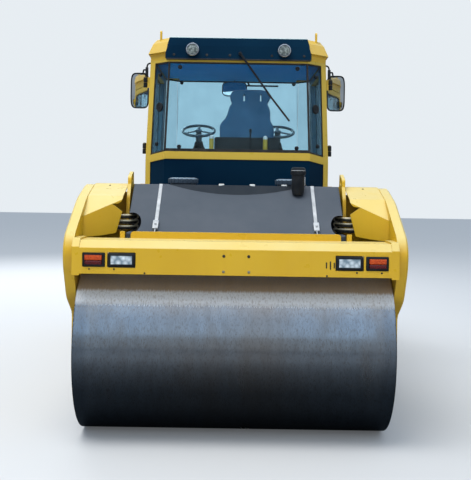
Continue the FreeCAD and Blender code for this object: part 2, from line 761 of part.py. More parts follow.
def steering_rod(side):
    """Piston rod with its eye and pin, which stands on the yoke's arm."""
    length = cylinder_length()
    along = Vector(1, 0, 0)
    rod = Part.makeCylinder(ROD_RADIUS, length - ROD_START, Vector(ROD_START, 0, 0), along)
    pin_low = Vector(length, 0, -EYE_HALF_HEIGHT)
    pin = Part.makeCylinder(CYLINDER_PIN_RADIUS, 2 * EYE_HALF_HEIGHT + 14, pin_low)
    whole = fused([eye_ring(length), rod, pin])
    whole.Placement = cylinder_frame(side)
    return whole


def tank_outline(inner_end, step_bottom):
    """Tank or hood from the side: (out, up, corner radius)."""
    return [
        (inner_end, step_bottom, 15),
        (inner_end, TANK_TOP, 50),
        (TANK_SHOULDER, TANK_TOP, 40),
        (TANK_NOSE, TANK_NOSE_TOP, 30),
        (TANK_NOSE, TANK_BOTTOM, 25),
        (DECK_END + 6, TANK_BOTTOM, 10),
        (DECK_END + 6, step_bottom, 0),
    ]


def brow(low):
    """Raised arched brow over the sloping face."""
    chord = TANK_SHOULDER - 60
    corners = [
        Vector(-BROW_HALF, TANK_SHOULDER, low),
        Vector(-BROW_HALF, chord, low),
        Vector(BROW_HALF, chord, low),
        Vector(BROW_HALF, TANK_SHOULDER, low),
    ]
    crown = Vector(0, TANK_SHOULDER + BROW_DEPTH, low)
    edges = [Part.Arc(corners[3], crown, corners[0]).toShape()]
    for start, end in zip(corners, corners[1:]):
        edges.append(Part.LineSegment(start, end).toShape())
    return Part.Face(Part.Wire(edges)).extrude(Vector(0, 0, TANK_TOP - low))


def scallop(side):
    start = Vector(side * SCALLOP_X, SCALLOP_START, SCALLOP_HEIGHT)
    return Part.makeCylinder(SCALLOP_RADIUS, 2 * SCALLOP_BEFORE_NOSE, start, Vector(0, 1, 0))


def tank_solid():
    body = prism_x(tank_outline(TANK_INNER_END, DECK_HEIGHT), -TANK_HALF, TANK_HALF)
    rims = []
    for edge in body.Edges:
        box = edge.BoundBox
        if box.XLength < 1 and box.ZMin > TANK_BOTTOM + 1:
            rims.append(edge)
    body = body.makeFillet(TANK_EDGE_ROUND, rims)
    whole = fused([body, brow(TANK_TOP - BROW_HEIGHT)])
    for side in (-1, 1):
        whole = whole.cut(scallop(side))
    return whole


def water_tank():
    """Moulded water tank over the drum, with the arched brow and a round recess each side."""
    return rear(tank_solid())


def slope_height(out):
    """Height of the tank's sloping face at a distance from the pivot."""
    fall = (TANK_TOP - TANK_NOSE_TOP) / (TANK_NOSE - TANK_SHOULDER)
    return TANK_TOP - (out - TANK_SHOULDER) * fall


def tank_fittings():
    """Two filler caps on the tank's top and the breather stack that stands on its slope."""
    pieces = []
    for side in (-1, 1):
        foot = Vector(side * CAP_X, TANK_SHOULDER - CAP_BEFORE_SHOULDER, TANK_TOP)
        pieces.append(Part.makeCylinder(CAP_RADIUS, CAP_HEIGHT, foot))
    stack_out = TANK_SHOULDER + STACK_PAST_SHOULDER
    stack_top = TANK_TOP + STACK_RISE
    foot_height = slope_height(stack_out + STACK_RADIUS) - 10
    neck_radius = STACK_RADIUS - 6
    outline = [
        (0, foot_height, 0),
        (neck_radius, foot_height, 0),
        (neck_radius, stack_top - 62, 0),
        (STACK_RADIUS, stack_top - 58, 0),
        (STACK_RADIUS, stack_top, 14),
        (0, stack_top, 0),
    ]
    wire = rounded_wire(outline, lambda p: Vector(p.x, 0, p.y))
    stack = Part.Face(wire).revolve(Vector(0, 0, 0), Vector(0, 0, 1), 360)
    stack.translate(Vector(-STACK_X, stack_out, 0))
    pieces.append(stack.cut(tank_solid()))
    return rear(Part.Compound(pieces))


def tank_straps():
    """Flat steel straps over the tank, each with a tensioner and a threaded rod to the beam."""
    lift = SEAT_GAP
    thick = STRAP_THICKNESS
    top = TANK_TOP + lift
    angle = math.atan((TANK_TOP - TANK_NOSE_TOP) / (TANK_NOSE - TANK_SHOULDER))
    shift = math.tan(angle / 2)
    foot_out = TANK_NOSE - 26
    foot_high = slope_height(foot_out) + lift / math.cos(angle)
    outline = [
        (TANK_INNER_END + 90, top, 0),
        (TANK_SHOULDER + lift * shift, top, 0),
        (foot_out, foot_high, 0),
        (foot_out + thick * math.sin(angle), foot_high + thick * math.cos(angle), 0),
        (TANK_SHOULDER + (lift + thick) * shift, top + thick, 0),
        (TANK_INNER_END + 90, top + thick, 0),
    ]
    half = STRAP_WIDTH / 2
    strap = prism_x(outline, STRAP_X - half, STRAP_X + half)
    down = Vector(0, math.cos(angle), -math.sin(angle))
    away = Vector(0, math.sin(angle), math.cos(angle))
    end = Vector(STRAP_X, foot_out, foot_high)
    box_half = TENSIONER_WIDTH / 2
    tensioner = Part.makeBox(TENSIONER_WIDTH, 46, 18, Vector(-box_half, -46, 0))
    tensioner.Placement = Placement(
        end + away * 0.1, Rotation(Vector(1, 0, 0), -math.degrees(angle))
    )
    rod_start = end + away * 9 - down * 10
    rod_end = Vector(STRAP_X, BEAM_INNER_EDGE - 3, BEAM_LIP_TOP - 18)
    rod = bar(rod_start, rod_end, 5)
    return rear(both_sides(fused([strap, tensioner, rod])))


COVER_CORNER_OUT = BEAM_INNER_EDGE - COVER_BEFORE_BEAM
COVER_INNER_X = LIFT_PLATE_OUTER + 5.0
COVER_SIDE = (
    # out, up: top edge, first fold, second fold, end of the slope
    (COVER_CORNER_OUT - 556, TANK_TOP + 2),
    (COVER_CORNER_OUT - 480, TANK_TOP - 2),
    (COVER_CORNER_OUT - 182, TANK_TOP - 88),
    (COVER_CORNER_OUT + 26, TANK_TOP - 252),
)
COVER_FOOT = TANK_TOP - 392.0


def cover_wedge(inset):
    """Folded cover as a filled form, inset by the sheet's thickness, cut by its yawed face."""
    top, fold, shoulder, nose = COVER_SIDE
    past = 10 if inset else 0
    outline = [
        (top[0] - past, COVER_FOOT - past, 0),
        (top[0] - past, top[1] - inset, 0),
        (fold[0], fold[1] - inset, 0),
        (shoulder[0] - inset * 0.3, shoulder[1] - inset, 0),
        (nose[0], nose[1] - inset * 1.27, 0),
        (nose[0], COVER_FOOT - past, 0),
    ]
    wedge = prism_x(outline, LIFT_PLATE_X - past, PLATE_INNER + past)
    yaw = math.radians(COVER_YAW_DEGREES)
    corner = Vector(PLATE_INNER, COVER_CORNER_OUT - inset / math.cos(yaw), 0)
    far = 800
    away_x = corner.x - far
    away_y = corner.y - far * math.tan(yaw)
    cutter = prism_z(
        [
            (corner.x + 10, corner.y + 10 * math.tan(yaw), 0),
            (away_x, away_y, 0),
            (away_x, corner.y + far, 0),
            (corner.x + 10, corner.y + far, 0),
        ],
        FRAME_BOTTOM,
        TANK_TOP + 200,
    )
    return wedge.cut(cutter)


def cover_front():
    """The cover seen from its end, with the bite and the pointed flap at its inner edge."""
    return prism_y(
        [
            (COVER_INNER_X, TANK_TOP + 20, 0),
            (COVER_INNER_X, TANK_TOP - 145, 44),
            (COVER_INNER_X + 69, TANK_TOP - 145, 0),
            (COVER_INNER_X + 1, TANK_TOP - 200, 0),
            (COVER_INNER_X + 41, TANK_TOP - 355, 12),
            (COVER_INNER_X + 133, TANK_TOP - 370, 60),
            (PLATE_INNER, TANK_TOP - 382, 0),
            (PLATE_INNER, TANK_TOP + 20, 0),
        ],
        COVER_SIDE[0][0] - 10,
        COVER_CORNER_OUT + 40,
    )


def corner_covers():
    """Folded sheet covers over the hose ways, between side plate and tank."""
    cover = cover_wedge(0).cut(cover_wedge(COVER_WALL)).common(cover_front())
    return both_sides(cover)


def lifting_plates():
    """Upright plates beside the tank with a bored lug, and a wall to the side plate."""
    low_x = LIFT_PLATE_X
    high_x = LIFT_PLATE_OUTER
    lug_low = LUG_OUT - LUG_LENGTH / 2
    lug_high = LUG_OUT + LUG_LENGTH / 2
    lug_top = TANK_TOP + LUG_RISE
    outline = [
        (DECK_END, DECK_HEIGHT, 0),
        (TANK_INNER_END + 40, DECK_HEIGHT, 0),
        (TANK_INNER_END + 40, TANK_TOP - 142, 60),
        (TANK_INNER_END + 215, TANK_TOP, 60),
        (lug_low - 14, TANK_TOP, 8),
        (lug_low, lug_top, 26),
        (lug_high, lug_top - LUG_SLANT, 30),
        (lug_high + 2, TANK_TOP, 6),
        (TANK_SHOULDER + 60, TANK_TOP - 90, 60),
        (TANK_SHOULDER + 95, TANK_TOP - 270, 0),
        (DECK_END, DECK_HEIGHT + 90, 60),
    ]
    plate = prism_x(outline, low_x, high_x)
    bore_start = Vector(low_x - 10, LUG_OUT, lug_top - LUG_BORE_BELOW)
    bore = Part.makeCylinder(LUG_BORE_RADIUS, 80, bore_start, Vector(1, 0, 0))
    wall_out = TANK_SHOULDER - 60
    wall = prism_x(
        rounded_rectangle(wall_out, wall_out + 24, DECK_HEIGHT + 130, TANK_TOP - 60, 0),
        high_x - 1,
        PLATE_INNER,
    )
    return both_sides(fused([plate.cut(bore), wall]))


HOSE_RADIUS = 16.0
HOSE_PITCH = 40.0
HOSE_ROUTE = (
    # x, out
    (SCALLOP_X - 6, SCALLOP_START),
    (SCALLOP_X - 6, TANK_NOSE - 233),
    (SCALLOP_X + 165, TANK_NOSE - 233),
    (PLATE_INNER, TANK_NOSE - 262),
)
HOSE_BENDS = (80.0, 320.0)


def hoses():
    """Three pressure hoses each side, from the tank's round recess to the side plate."""
    tubes = []
    for step in (-1, 0, 1):
        height = SCALLOP_HEIGHT + step * HOSE_PITCH
        points = [Vector(x, out, height) for x, out in HOSE_ROUTE]
        edges = []
        start = points[0]
        for index, radius in enumerate(HOSE_BENDS):
            here = points[index + 1]
            back = (points[index] - here).normalize()
            ahead = (points[index + 2] - here).normalize()
            half_angle = back.getAngle(ahead) / 2
            reach = radius / math.tan(half_angle)
            enter = here + back * reach
            leave = here + ahead * reach
            depth = radius / math.sin(half_angle) - radius
            middle = here + (back + ahead).normalize() * depth
            edges.append(Part.LineSegment(start, enter).toShape())
            edges.append(Part.Arc(enter, middle, leave).toShape())
            start = leave
        edges.append(Part.LineSegment(start, points[-1]).toShape())
        path = Part.Wire(edges)
        section = Part.Wire(Part.makeCircle(HOSE_RADIUS, points[0], Vector(0, 1, 0)))
        tube = path.makePipeShell([section], True, False)
        beyond = block(
            PLATE_INNER, PLATE_INNER + 100, SCALLOP_START, BEAM_FACE, TANK_BOTTOM, TANK_TOP
        )
        tubes.append(tube.cut(beyond))
    right = Part.Compound(tubes)
    return rear(Part.Compound([right, mirrored(right)]))


HOOD_HINGE_OUT = TANK_NOSE + 32
HOOD_HINGE_HEIGHT = BEAM_LIP_TOP + 15
HOOD_HINGE_X = 500.0
HOOD_KNUCKLE_LENGTH = 80.0
HOOD_PIN_RADIUS = 7.0


def engine_hood():
    """Hollow lid over the engine, hinged at its low outer edge, with side grille openings."""
    outer = prism_x(tank_outline(HOOD_INNER_END, DECK_HEIGHT + 6), -TANK_HALF, TANK_HALF)
    wall = HOOD_WALL
    inside = [
        (HOOD_INNER_END + wall, DECK_HEIGHT - 20, 0),
        (HOOD_INNER_END + wall, TANK_TOP - wall, 40),
        (TANK_SHOULDER - wall * 0.35, TANK_TOP - wall, 30),
        (TANK_NOSE - wall, TANK_NOSE_TOP - wall * 0.35, 20),
        (TANK_NOSE - wall, DECK_HEIGHT - 20, 0),
    ]
    whole = outer.cut(prism_x(inside, wall - TANK_HALF, TANK_HALF - wall))
    whole = whole.cut(grille_opening(-1)).cut(grille_opening(1))
    knuckles = []
    across = Vector(1, 0, 0)
    for side in (-1, 1):
        x_low = side * HOOD_HINGE_X - HOOD_KNUCKLE_LENGTH / 2
        x_high = x_low + HOOD_KNUCKLE_LENGTH
        start = Vector(x_low, HOOD_HINGE_OUT, HOOD_HINGE_HEIGHT)
        knuckle = Part.makeCylinder(13, HOOD_KNUCKLE_LENGTH, start, across)
        web = prism_x(
            [
                (TANK_NOSE - 8, TANK_NOSE_TOP - 26, 0),
                (HOOD_HINGE_OUT + 6, HOOD_HINGE_HEIGHT - 11, 0),
                (HOOD_HINGE_OUT - 6, HOOD_HINGE_HEIGHT + 11, 0),
                (TANK_NOSE - 40, TANK_NOSE_TOP + 18, 0),
            ],
            x_low,
            x_high,
        )
        hole_start = start - Vector(10, 0, 0)
        hole_radius = HOOD_PIN_RADIUS + PIN_CLEARANCE
        hole = Part.makeCylinder(hole_radius, HOOD_KNUCKLE_LENGTH + 20, hole_start, across)
        knuckles.append(fused([knuckle, web]).cut(hole))
    return fused([whole] + knuckles)


GRILLE_INNER = HOOD_INNER_END + 138
GRILLE_OUTER = TANK_NOSE - 328
GRILLE_LOW = TANK_BOTTOM + 40
GRILLE_HIGH = TANK_TOP - 102


def grille_outline():
    return [
        (GRILLE_INNER, GRILLE_LOW, 30),
        (GRILLE_INNER, GRILLE_HIGH, 30),
        (GRILLE_OUTER - 200, GRILLE_HIGH, 60),
        (GRILLE_OUTER, GRILLE_HIGH - 160, 60),
        (GRILLE_OUTER, GRILLE_LOW + 20, 30),
        (DECK_END + 60, GRILLE_LOW + 20, 30),
        (DECK_END + 50, GRILLE_LOW, 5),
    ]


def grille_opening(side):
    low, high = sorted((side * (TANK_HALF + 5), side * (TANK_HALF - 3 * HOOD_WALL)))
    return prism_x(grille_outline(), low, high)


GRILLE_SLATS = 9


def hood_grilles():
    """Slatted side grilles set in the hood, each a frame with sloping slats."""
    low_x = TANK_HALF - HOOD_WALL
    solid = prism_x(grille_outline(), low_x, TANK_HALF - 1)
    rim = 24
    inside = block(
        0, TANK_HALF, GRILLE_INNER + rim, GRILLE_OUTER - rim, GRILLE_LOW + rim, GRILLE_HIGH - rim
    )
    frame = solid.cut(solid.common(inside))
    pitch = (GRILLE_HIGH - GRILLE_LOW) / GRILLE_SLATS
    slats = []
    for number in range(GRILLE_SLATS):
        height = GRILLE_LOW + pitch * (number + 0.5)
        ends = (GRILLE_INNER - 10, GRILLE_OUTER + 10)
        slat = block(low_x, TANK_HALF - 1, *ends, height - 5, height + 5)
        slats.append(slat.common(solid))
    return both_sides(fused([frame] + slats))


def hood_hinge_pins():
    """Ears on the front beam that carry the hood's hinge pins."""
    ears = []
    ear_thickness = 16.0
    ear_gap = 6.0
    for side in (-1, 1):
        x_low = side * HOOD_HINGE_X - HOOD_KNUCKLE_LENGTH / 2 - ear_gap
        x_high = side * HOOD_HINGE_X + HOOD_KNUCKLE_LENGTH / 2 + ear_gap
        start = Vector(x_low - ear_thickness, HOOD_HINGE_OUT, HOOD_HINGE_HEIGHT)
        length = x_high - x_low + 2 * ear_thickness
        ears.append(Part.makeCylinder(HOOD_PIN_RADIUS, length, start, Vector(1, 0, 0)))
        for ear_low in (x_low - ear_thickness, x_high):
            ears.append(
                prism_x(
                    [
                        (HOOD_HINGE_OUT - 13, HOOD_HINGE_HEIGHT - 13, 8),
                        (HOOD_HINGE_OUT - 13, HOOD_HINGE_HEIGHT + 13, 12),
                        (HOOD_HINGE_OUT + 13, HOOD_HINGE_HEIGHT + 13, 12),
                        (BEAM_INNER_EDGE + 6, BEAM_LIP_TOP - 8, 0),
                        (BEAM_INNER_EDGE + 6, BEAM_TOP - 6, 0),
                        (BEAM_INNER_EDGE - 6, BEAM_TOP - 6, 0),
                    ],
                    ear_low,
                    ear_low + ear_thickness,
                )
            )
    return ears


def engine_block():
    """Engine as one plain block on the front deck."""
    block_low = FRAME_GAP_HALF + FRONT_DECK_LENGTH + 50
    return block(-420, 420, block_low, DECK_END - 20, DECK_HEIGHT, TANK_TOP - 102)


SCRAPER_TABLE = (
    # angle of the blade round the axle, from straight up, outwards positive
    -52.0,
    24.0,
)


def scrapers():
    """Scraper blades close to the drum, on holders that reach to the side plates' inner faces."""
    pieces = []
    for angle in SCRAPER_TABLE:
        turn = math.radians(angle)
        out = AXLE_OUT + math.sin(turn) * (DRUM_RADIUS + 6)
        up = AXLE_HEIGHT + math.cos(turn) * (DRUM_RADIUS + 6)
        blade = Part.makeBox(2 * PLATE_INNER - 4, 12, 60, Vector(-PLATE_INNER + 2, 0, 0))
        back = Part.makeBox(2 * PLATE_INNER, 34, 14, Vector(-PLATE_INNER, 0, 54))
        whole = fused([blade, back])
        whole.Placement = Placement(
            Vector(0, out, up), Rotation(Vector(1, 0, 0), -angle)
        )
        pieces.append(whole)
    frame = centre_frame([(FRAME_GAP_HALF, DECK_HEIGHT, 40)])
    brackets = []
    for x in (-0.75 * DRUM_HALF, 0, 0.75 * DRUM_HALF):
        foot_out = AXLE_OUT - DRUM_RADIUS + 100
        foot_up = AXLE_HEIGHT + DRUM_RADIUS - 170
        bracket = prism_x(
            [
                (foot_out - 38, foot_up - 22, 0),
                (foot_out, foot_up - 4, 0),
                (foot_out, foot_up + 80, 0),
                (foot_out - 60, foot_up + 80, 0),
            ],
            x - 12,
            x + 12,
        )
        brackets.append(bracket.cut(frame))
    pieces[0] = fused([pieces[0]] + brackets)
    return pieces


def spray_bar():
    """Water spray pipe over the drum with its nozzles."""
    out = AXLE_OUT + 40
    up = AXLE_HEIGHT + DRUM_RADIUS + 44
    across = Vector(1, 0, 0)
    pipe = Part.makeCylinder(14, 2 * PLATE_INNER, Vector(-PLATE_INNER, out, up), across)
    pieces = [pipe]
    for number in range(8):
        x = (number - 3.5) * DRUM_LENGTH / 8
        nozzle = Part.makeCone(12, 7, 26, Vector(x, out, up), Vector(0, 0.35, -1))
        pieces.append(nozzle)
    return fused(pieces)


def drum_fittings():
    """Scrapers and spray pipe of one drum."""
    return Part.Compound(scrapers() + [spray_bar()])


def access_steps():
    """Open step boxes under the cab doors, on the frame's outer ends."""
    step = prism_x(
        [
            (-FRAME_GAP_HALF - 60, FRAME_BOTTOM - 140, 20),
            (-FRAME_GAP_HALF - 440, FRAME_BOTTOM - 140, 20),
            (-FRAME_GAP_HALF - 440, FRAME_BOTTOM, 0),
            (-FRAME_GAP_HALF - 400, FRAME_BOTTOM, 0),
            (-FRAME_GAP_HALF - 400, FRAME_BOTTOM - 100, 10),
            (-FRAME_GAP_HALF - 100, FRAME_BOTTOM - 100, 10),
            (-FRAME_GAP_HALF - 100, FRAME_BOTTOM, 0),
            (-FRAME_GAP_HALF - 60, FRAME_BOTTOM, 0),
        ],
        PLATE_INNER - 190,
        PLATE_INNER,
    )
    return both_sides(step)


def cab_half(height):
    """Half width of the cab's outer face at a height."""
    if height <= SILL_BOTTOM:
        return CAB_HALF
    return CAB_HALF - CAB_TAPER * (height - SILL_BOTTOM) / (CAB_EAVE - SILL_BOTTOM)


def cab_ring(height, inset):
    """Cab outline in plan at a height: eight corners, drawn in by inset."""
    taper = CAB_HALF - cab_half(height)
    half = cab_half(height) - inset
    back = -CAB_REAR + taper + inset
    front = CAB_FRONT - taper - inset
    cut_x = CAB_CHAMFER_X - inset * 0.4
    cut_y = CAB_CHAMFER_Y - inset * 0.4
    corners = [
        (half, back + cut_y),
        (half, front - cut_y),
        (half - cut_x, front),
        (cut_x - half, front),
        (-half, front - cut_y),
        (-half, back + cut_y),
        (cut_x - half, back),
        (half - cut_x, back),
    ]
    points = [Vector(x, y, height) for x, y in corners]
    return Part.makePolygon(points + points[:1])


def cab_form(inset, low, high):
    """Solid of the cab's outline between two heights, drawn in by inset."""
    levels = [low]
    if low < SILL_BOTTOM < high:
        levels.append(SILL_BOTTOM)
    levels.append(high)
    parts = []
    for start, end in zip(levels, levels[1:]):
        parts.append(Part.makeLoft([cab_ring(start, inset), cab_ring(end, inset)], True, True))
    return fused(parts)


def window_form(low, high, margin, low_drop, high_drop):
    """Block that passes between the corner posts; the drops slant its edge at the angled corners."""
    half_low = cab_half(low) - POST_WIDTH + margin
    half_high = cab_half(high) - POST_WIDTH + margin
    outline = [
        (-half_low, low - low_drop, 0),
        (-PANE_JOINT, low, 0),
        (PANE_JOINT, low, 0),
        (half_low, low - low_drop, 0),
        (half_high, high - high_drop, 0),
        (PANE_JOINT, high, 0),
        (-PANE_JOINT, high, 0),
        (-half_high, high - high_drop, 0),
    ]
    return prism_y(outline, -CAB_REAR - 50, CAB_FRONT + 50)


def cab_frame_shell():
    """Posts, sill belt and eaves ring, with the window and door openings."""
    shell = cab_form(0, CAB_BASE, CAB_EAVE).cut(
        cab_form(CAB_WALL, CAB_BASE - 1, CAB_EAVE + 1)
    )
    shell = shell.cut(window_form(SILL_TOP, GLASS_TOP, 0, SILL_DROP, 0))
    shell = shell.cut(window_form(CAB_BASE + 30, SILL_BOTTOM, 0, 0, SILL_DROP))
    portal = block(
        -CAB_HALF - 50, CAB_HALF + 50, DOOR_REAR, DOOR_FRONT, DOOR_SILL, GLASS_TOP
    )
    return shell.cut(portal)


def sill_post(x):
    """Short round post with a domed end, welded inside the rear sill belt."""
    y = SILL_POST_RADIUS + GLASS_THICKNESS + GLASS_INSET + 12 - CAB_REAR
    foot = Vector(x, y, SILL_BOTTOM + 10)
    end = Vector(x, y, SILL_TOP + SILL_POST_RISE - SILL_POST_RADIUS)
    return bar(foot, end, SILL_POST_RADIUS).fuse(Part.makeSphere(SILL_POST_RADIUS, end))


def cab_frame():
    """Welded cab frame: corner posts, sill belt, eaves ring, door portals and hinge pins."""
    pieces = [cab_frame_shell()]
    for x in SILL_POST_X:
        pieces.append(sill_post(x))
    for drop in HINGE_DROPS:
        for side in (-1, 1):
            pieces.append(hinge_fixed(side, CAB_EAVE - drop))
    return fused(pieces)


def hinge_axis(side):
    return Vector(side * (CAB_HALF + HINGE_OUT), DOOR_REAR - HINGE_BACK, 0)


def hinge_fixed(side, height):
    """Fixed half of a door hinge: lower knuckle with its pin and a leaf to the post."""
    axis = hinge_axis(side)
    low = Vector(axis.x, axis.y, height - HINGE_KNUCKLE_LENGTH)
    knuckle = Part.makeCylinder(HINGE_KNUCKLE_RADIUS, HINGE_KNUCKLE_LENGTH, low)
    pin = Part.makeCylinder(HINGE_PIN_RADIUS, 2 * HINGE_KNUCKLE_LENGTH + 3, low)
    inner = side * (cab_half(height) - 12)
    x_low, x_high = sorted((inner, axis.x))
    leaf = block(
        x_low, x_high, axis.y - 6, axis.y + 6, height - HINGE_KNUCKLE_LENGTH, height
    )
    return fused([knuckle, pin, leaf])


def door_slab(side, inset, margin, thickness):
    """Side wall between the door's edges, drawn in by inset, thickness deep."""
    ring = cab_form(inset, DOOR_SILL - 20, GLASS_TOP + 20).cut(
        cab_form(inset + thickness, DOOR_SILL - 30, GLASS_TOP + 30)
    )
    low_x, high_x = sorted((side * (CAB_HALF - 160), side * (CAB_HALF + 60)))
    window = block(
        low_x,
        high_x,
        DOOR_REAR + margin,
        DOOR_FRONT - margin,
        DOOR_SILL + margin,
        GLASS_TOP - margin,
    )
    return ring.common(window)


def door_frame(side):
    """Cab door frame with its window openings, hinge halves and handle."""
    slab = door_slab(side, 0, DOOR_GAP, CAB_WALL)
    opening_low = DOOR_SILL + DOOR_GAP + DOOR_RAIL
    openings = (
        (opening_low, SILL_BOTTOM - 20),
        (SILL_TOP, GLASS_TOP - DOOR_GAP - DOOR_RAIL),
    )
    for low, high in openings:
        window = block(
            min(side * 600, side * 900),
            max(side * 600, side * 900),
            DOOR_REAR + DOOR_GAP + DOOR_RAIL,
            DOOR_FRONT - DOOR_GAP - DOOR_RAIL,
            low,
            high,
        )
        slab = slab.cut(window)
    pieces = [slab]
    axis = hinge_axis(side)
    for drop in HINGE_DROPS:
        height = CAB_EAVE - drop
        low = Vector(axis.x, axis.y, height + 1)
        knuckle = Part.makeCylinder(HINGE_KNUCKLE_RADIUS, HINGE_KNUCKLE_LENGTH, low)
        face = cab_half(height)
        x_low, x_high = sorted((side * (face - 14), axis.x))
        leaf = block(
            x_low,
            x_high,
            axis.y,
            DOOR_REAR + DOOR_GAP + 20,
            height + 1,
            height + 1 + HINGE_KNUCKLE_LENGTH,
        )
        if side > 0:
            keep = block(face - 30, axis.x + 40, axis.y - 40, DOOR_REAR + 60, low.z, low.z + 60)
        else:
            keep = block(axis.x - 40, 30 - face, axis.y - 40, DOOR_REAR + 60, low.z, low.z + 60)
        hinge = fused([knuckle, leaf]).common(keep)
        post_side = block(
            min(0, side * (face + 1.5)),
            max(0, side * (face + 1.5)),
            axis.y - 60,
            DOOR_REAR + DOOR_GAP,
            low.z - 10,
            low.z + 80,
        )
        hinge = hinge.cut(post_side)
        hole = Part.makeCylinder(
            HINGE_PIN_RADIUS + PIN_CLEARANCE, HINGE_KNUCKLE_LENGTH + 20, low - Vector(0, 0, 10)
        )
        pieces.append(hinge.cut(hole))
    return fused(pieces)


def door_glass(side):
    """Two panes set into the door."""
    slab = door_slab(side, GLASS_INSET, DOOR_GAP + DOOR_RAIL + SEAT_GAP, GLASS_THICKNESS)
    bands = (
        (DOOR_SILL, SILL_BOTTOM - 20 - SEAT_GAP),
        (SILL_TOP + SEAT_GAP, GLASS_TOP),
    )
    panes = []
    for low, high in bands:
        panes.append(slab.common(block(-900, 900, -900, 900, low, high)))
    return Part.Compound(panes)


def cab_glass():
    """Main panes and angled corner panes at both ends of the cab."""
    foot = SILL_TOP - SILL_DROP - 10
    skin = cab_form(GLASS_INSET, foot, GLASS_TOP + 10).cut(
        cab_form(GLASS_INSET + GLASS_THICKNESS, foot - 10, GLASS_TOP + 20)
    )
    band = window_form(SILL_TOP + SEAT_GAP, GLASS_TOP - SEAT_GAP, -SEAT_GAP, SILL_DROP, 0)
    skin = skin.common(band)
    joint = PANE_JOINT
    panes = []
    for y_low, y_high in ((-1000, -700), (200, 600)):
        end = skin.common(block(-900, 900, y_low, y_high, CAB_BASE, CAB_EAVE))
        spans = ((-900, -joint - 1.5), (1.5 - joint, joint - 1.5), (joint + 1.5, 900))
        for x_low, x_high in spans:
            pane = end.common(block(x_low, x_high, y_low, y_high, CAB_BASE, CAB_EAVE))
            panes.extend(pane.Solids)
    return Part.Compound(panes)


def cab_panels():
    """Dark lower panels at both ends of the cab, below the sill."""
    skin = cab_form(6, CAB_BASE + 10, SILL_BOTTOM + 20).cut(
        cab_form(6 + PANEL_THICKNESS, CAB_BASE, SILL_BOTTOM + 30)
    )
    band = window_form(
        CAB_BASE + 30 + SEAT_GAP, SILL_BOTTOM - SEAT_GAP, -SEAT_GAP, 0, SILL_DROP
    )
    skin = skin.common(band)
    panels = []
    for y_low, y_high in ((-1000, -700), (200, 600)):
        end = skin.common(block(-900, 900, y_low, y_high, CAB_BASE, CAB_EAVE))
        panels.extend(end.Solids)
    return Part.Compound(panels)


def roof_ring(height, grow):
    half = cab_half(CAB_EAVE) + grow
    taper = CAB_HALF - cab_half(CAB_EAVE)
    back = -CAB_REAR + taper - grow
    front = CAB_FRONT - taper + grow
    cut_x = CAB_CHAMFER_X
    cut_y = CAB_CHAMFER_Y
    corners = [
        (half, back + cut_y),
        (half, front - cut_y),
        (half - cut_x, front),
        (cut_x - half, front),
        (-half, front - cut_y),
        (-half, back + cut_y),
        (cut_x - half, back),
        (half - cut_x, back),
    ]
    points = [Vector(x, y, height) for x, y in corners]
    return Part.makePolygon(points + points[:1])


def roof_form():
    """Roof sides: upright band, drip lip and the steep form above it."""
    lower = Part.makeLoft([roof_ring(CAB_EAVE, 0), roof_ring(ROOF_LIP_HEIGHT, 0)], True, True)
    rings = [
        roof_ring(ROOF_LIP_HEIGHT, ROOF_OVERHANG),
        roof_ring(CAB_EAVE + ROOF_SHOULDER_RISE, -ROOF_SHOULDER_INSET),
        roof_ring(ROOF_TOP, -ROOF_TOP_INSET),
    ]
    return fused([lower, Part.makeLoft(rings, True, True)])


def visor_wedge():
    """Space of the dark visors between the corner pods, narrower towards the top."""
    return prism_y(
        [
            (-VISOR_HALF, CAB_EAVE, 0),
            (VISOR_HALF, CAB_EAVE, 0),
            (VISOR_HALF, ROOF_LIP_HEIGHT, 0),
            (VISOR_TOP_HALF, ROOF_TOP + 5, 0),
            (-VISOR_TOP_HALF, ROOF_TOP + 5, 0),
            (-VISOR_HALF, ROOF_LIP_HEIGHT, 0),
        ],
        -CAB_REAR - 60,
        CAB_FRONT + 60,
    )


def cab_roof():
    """Dark roof centre with a creased visor face at each end."""
    back = CAB_TAPER - ROOF_OVERHANG - CAB_REAR
    front = CAB_FRONT + ROOF_OVERHANG - CAB_TAPER
    crease = VISOR_LEAN * VISOR_CREASE_RISE / VISOR_RISE - VISOR_PROUD
    centre = prism_x(
        [
            (back, CAB_EAVE, 0),
            (front, CAB_EAVE, 0),
            (front - crease, CAB_EAVE + VISOR_CREASE_RISE, 0),
            (front - VISOR_LEAN, CAB_EAVE + VISOR_RISE, 0),
            (back + VISOR_LEAN, CAB_EAVE + VISOR_RISE, 0),
            (back + crease, CAB_EAVE + VISOR_CREASE_RISE, 0),
        ],
        -VISOR_HALF,
        VISOR_HALF,
    )
    return centre.common(visor_wedge())


def roof_sides():
    """Yellow roof sides with their corner pods and the bored lifting eyes."""
    sides = roof_form().cut(visor_wedge())
    pieces = []
    for side in (-1, 1):
        low, high = sorted((0.0, side * (CAB_HALF + 100)))
        half = sides.common(
            block(low, high, -CAB_REAR - 60, CAB_FRONT + 60, CAB_EAVE, ROOF_TOP + 10)
        )
        parts = [half]
        for y in (ROOF_EYE_IN - CAB_REAR, CAB_FRONT - ROOF_EYE_IN):
            centre_z = ROOF_TOP + ROOF_EYE_RISE - ROOF_EYE_RADIUS
            across = Vector(1, 0, 0)
            thick = ROOF_EYE_THICKNESS
            start = Vector(side * ROOF_EYE_X - thick / 2, y, centre_z)
            eye = Part.makeCylinder(ROOF_EYE_RADIUS, thick, start, across)
            foot = block(
                start.x, start.x + thick, y - ROOF_EYE_RADIUS, y + ROOF_EYE_RADIUS,
                ROOF_TOP - 60, centre_z,
            )
            hole = Part.makeCylinder(ROOF_EYE_BORE, 30, start - Vector(5, 0, 0), across)
            parts.append(fused([eye, foot]).cut(hole))
        pieces.append(fused(parts))
    return Part.Compound(pieces)


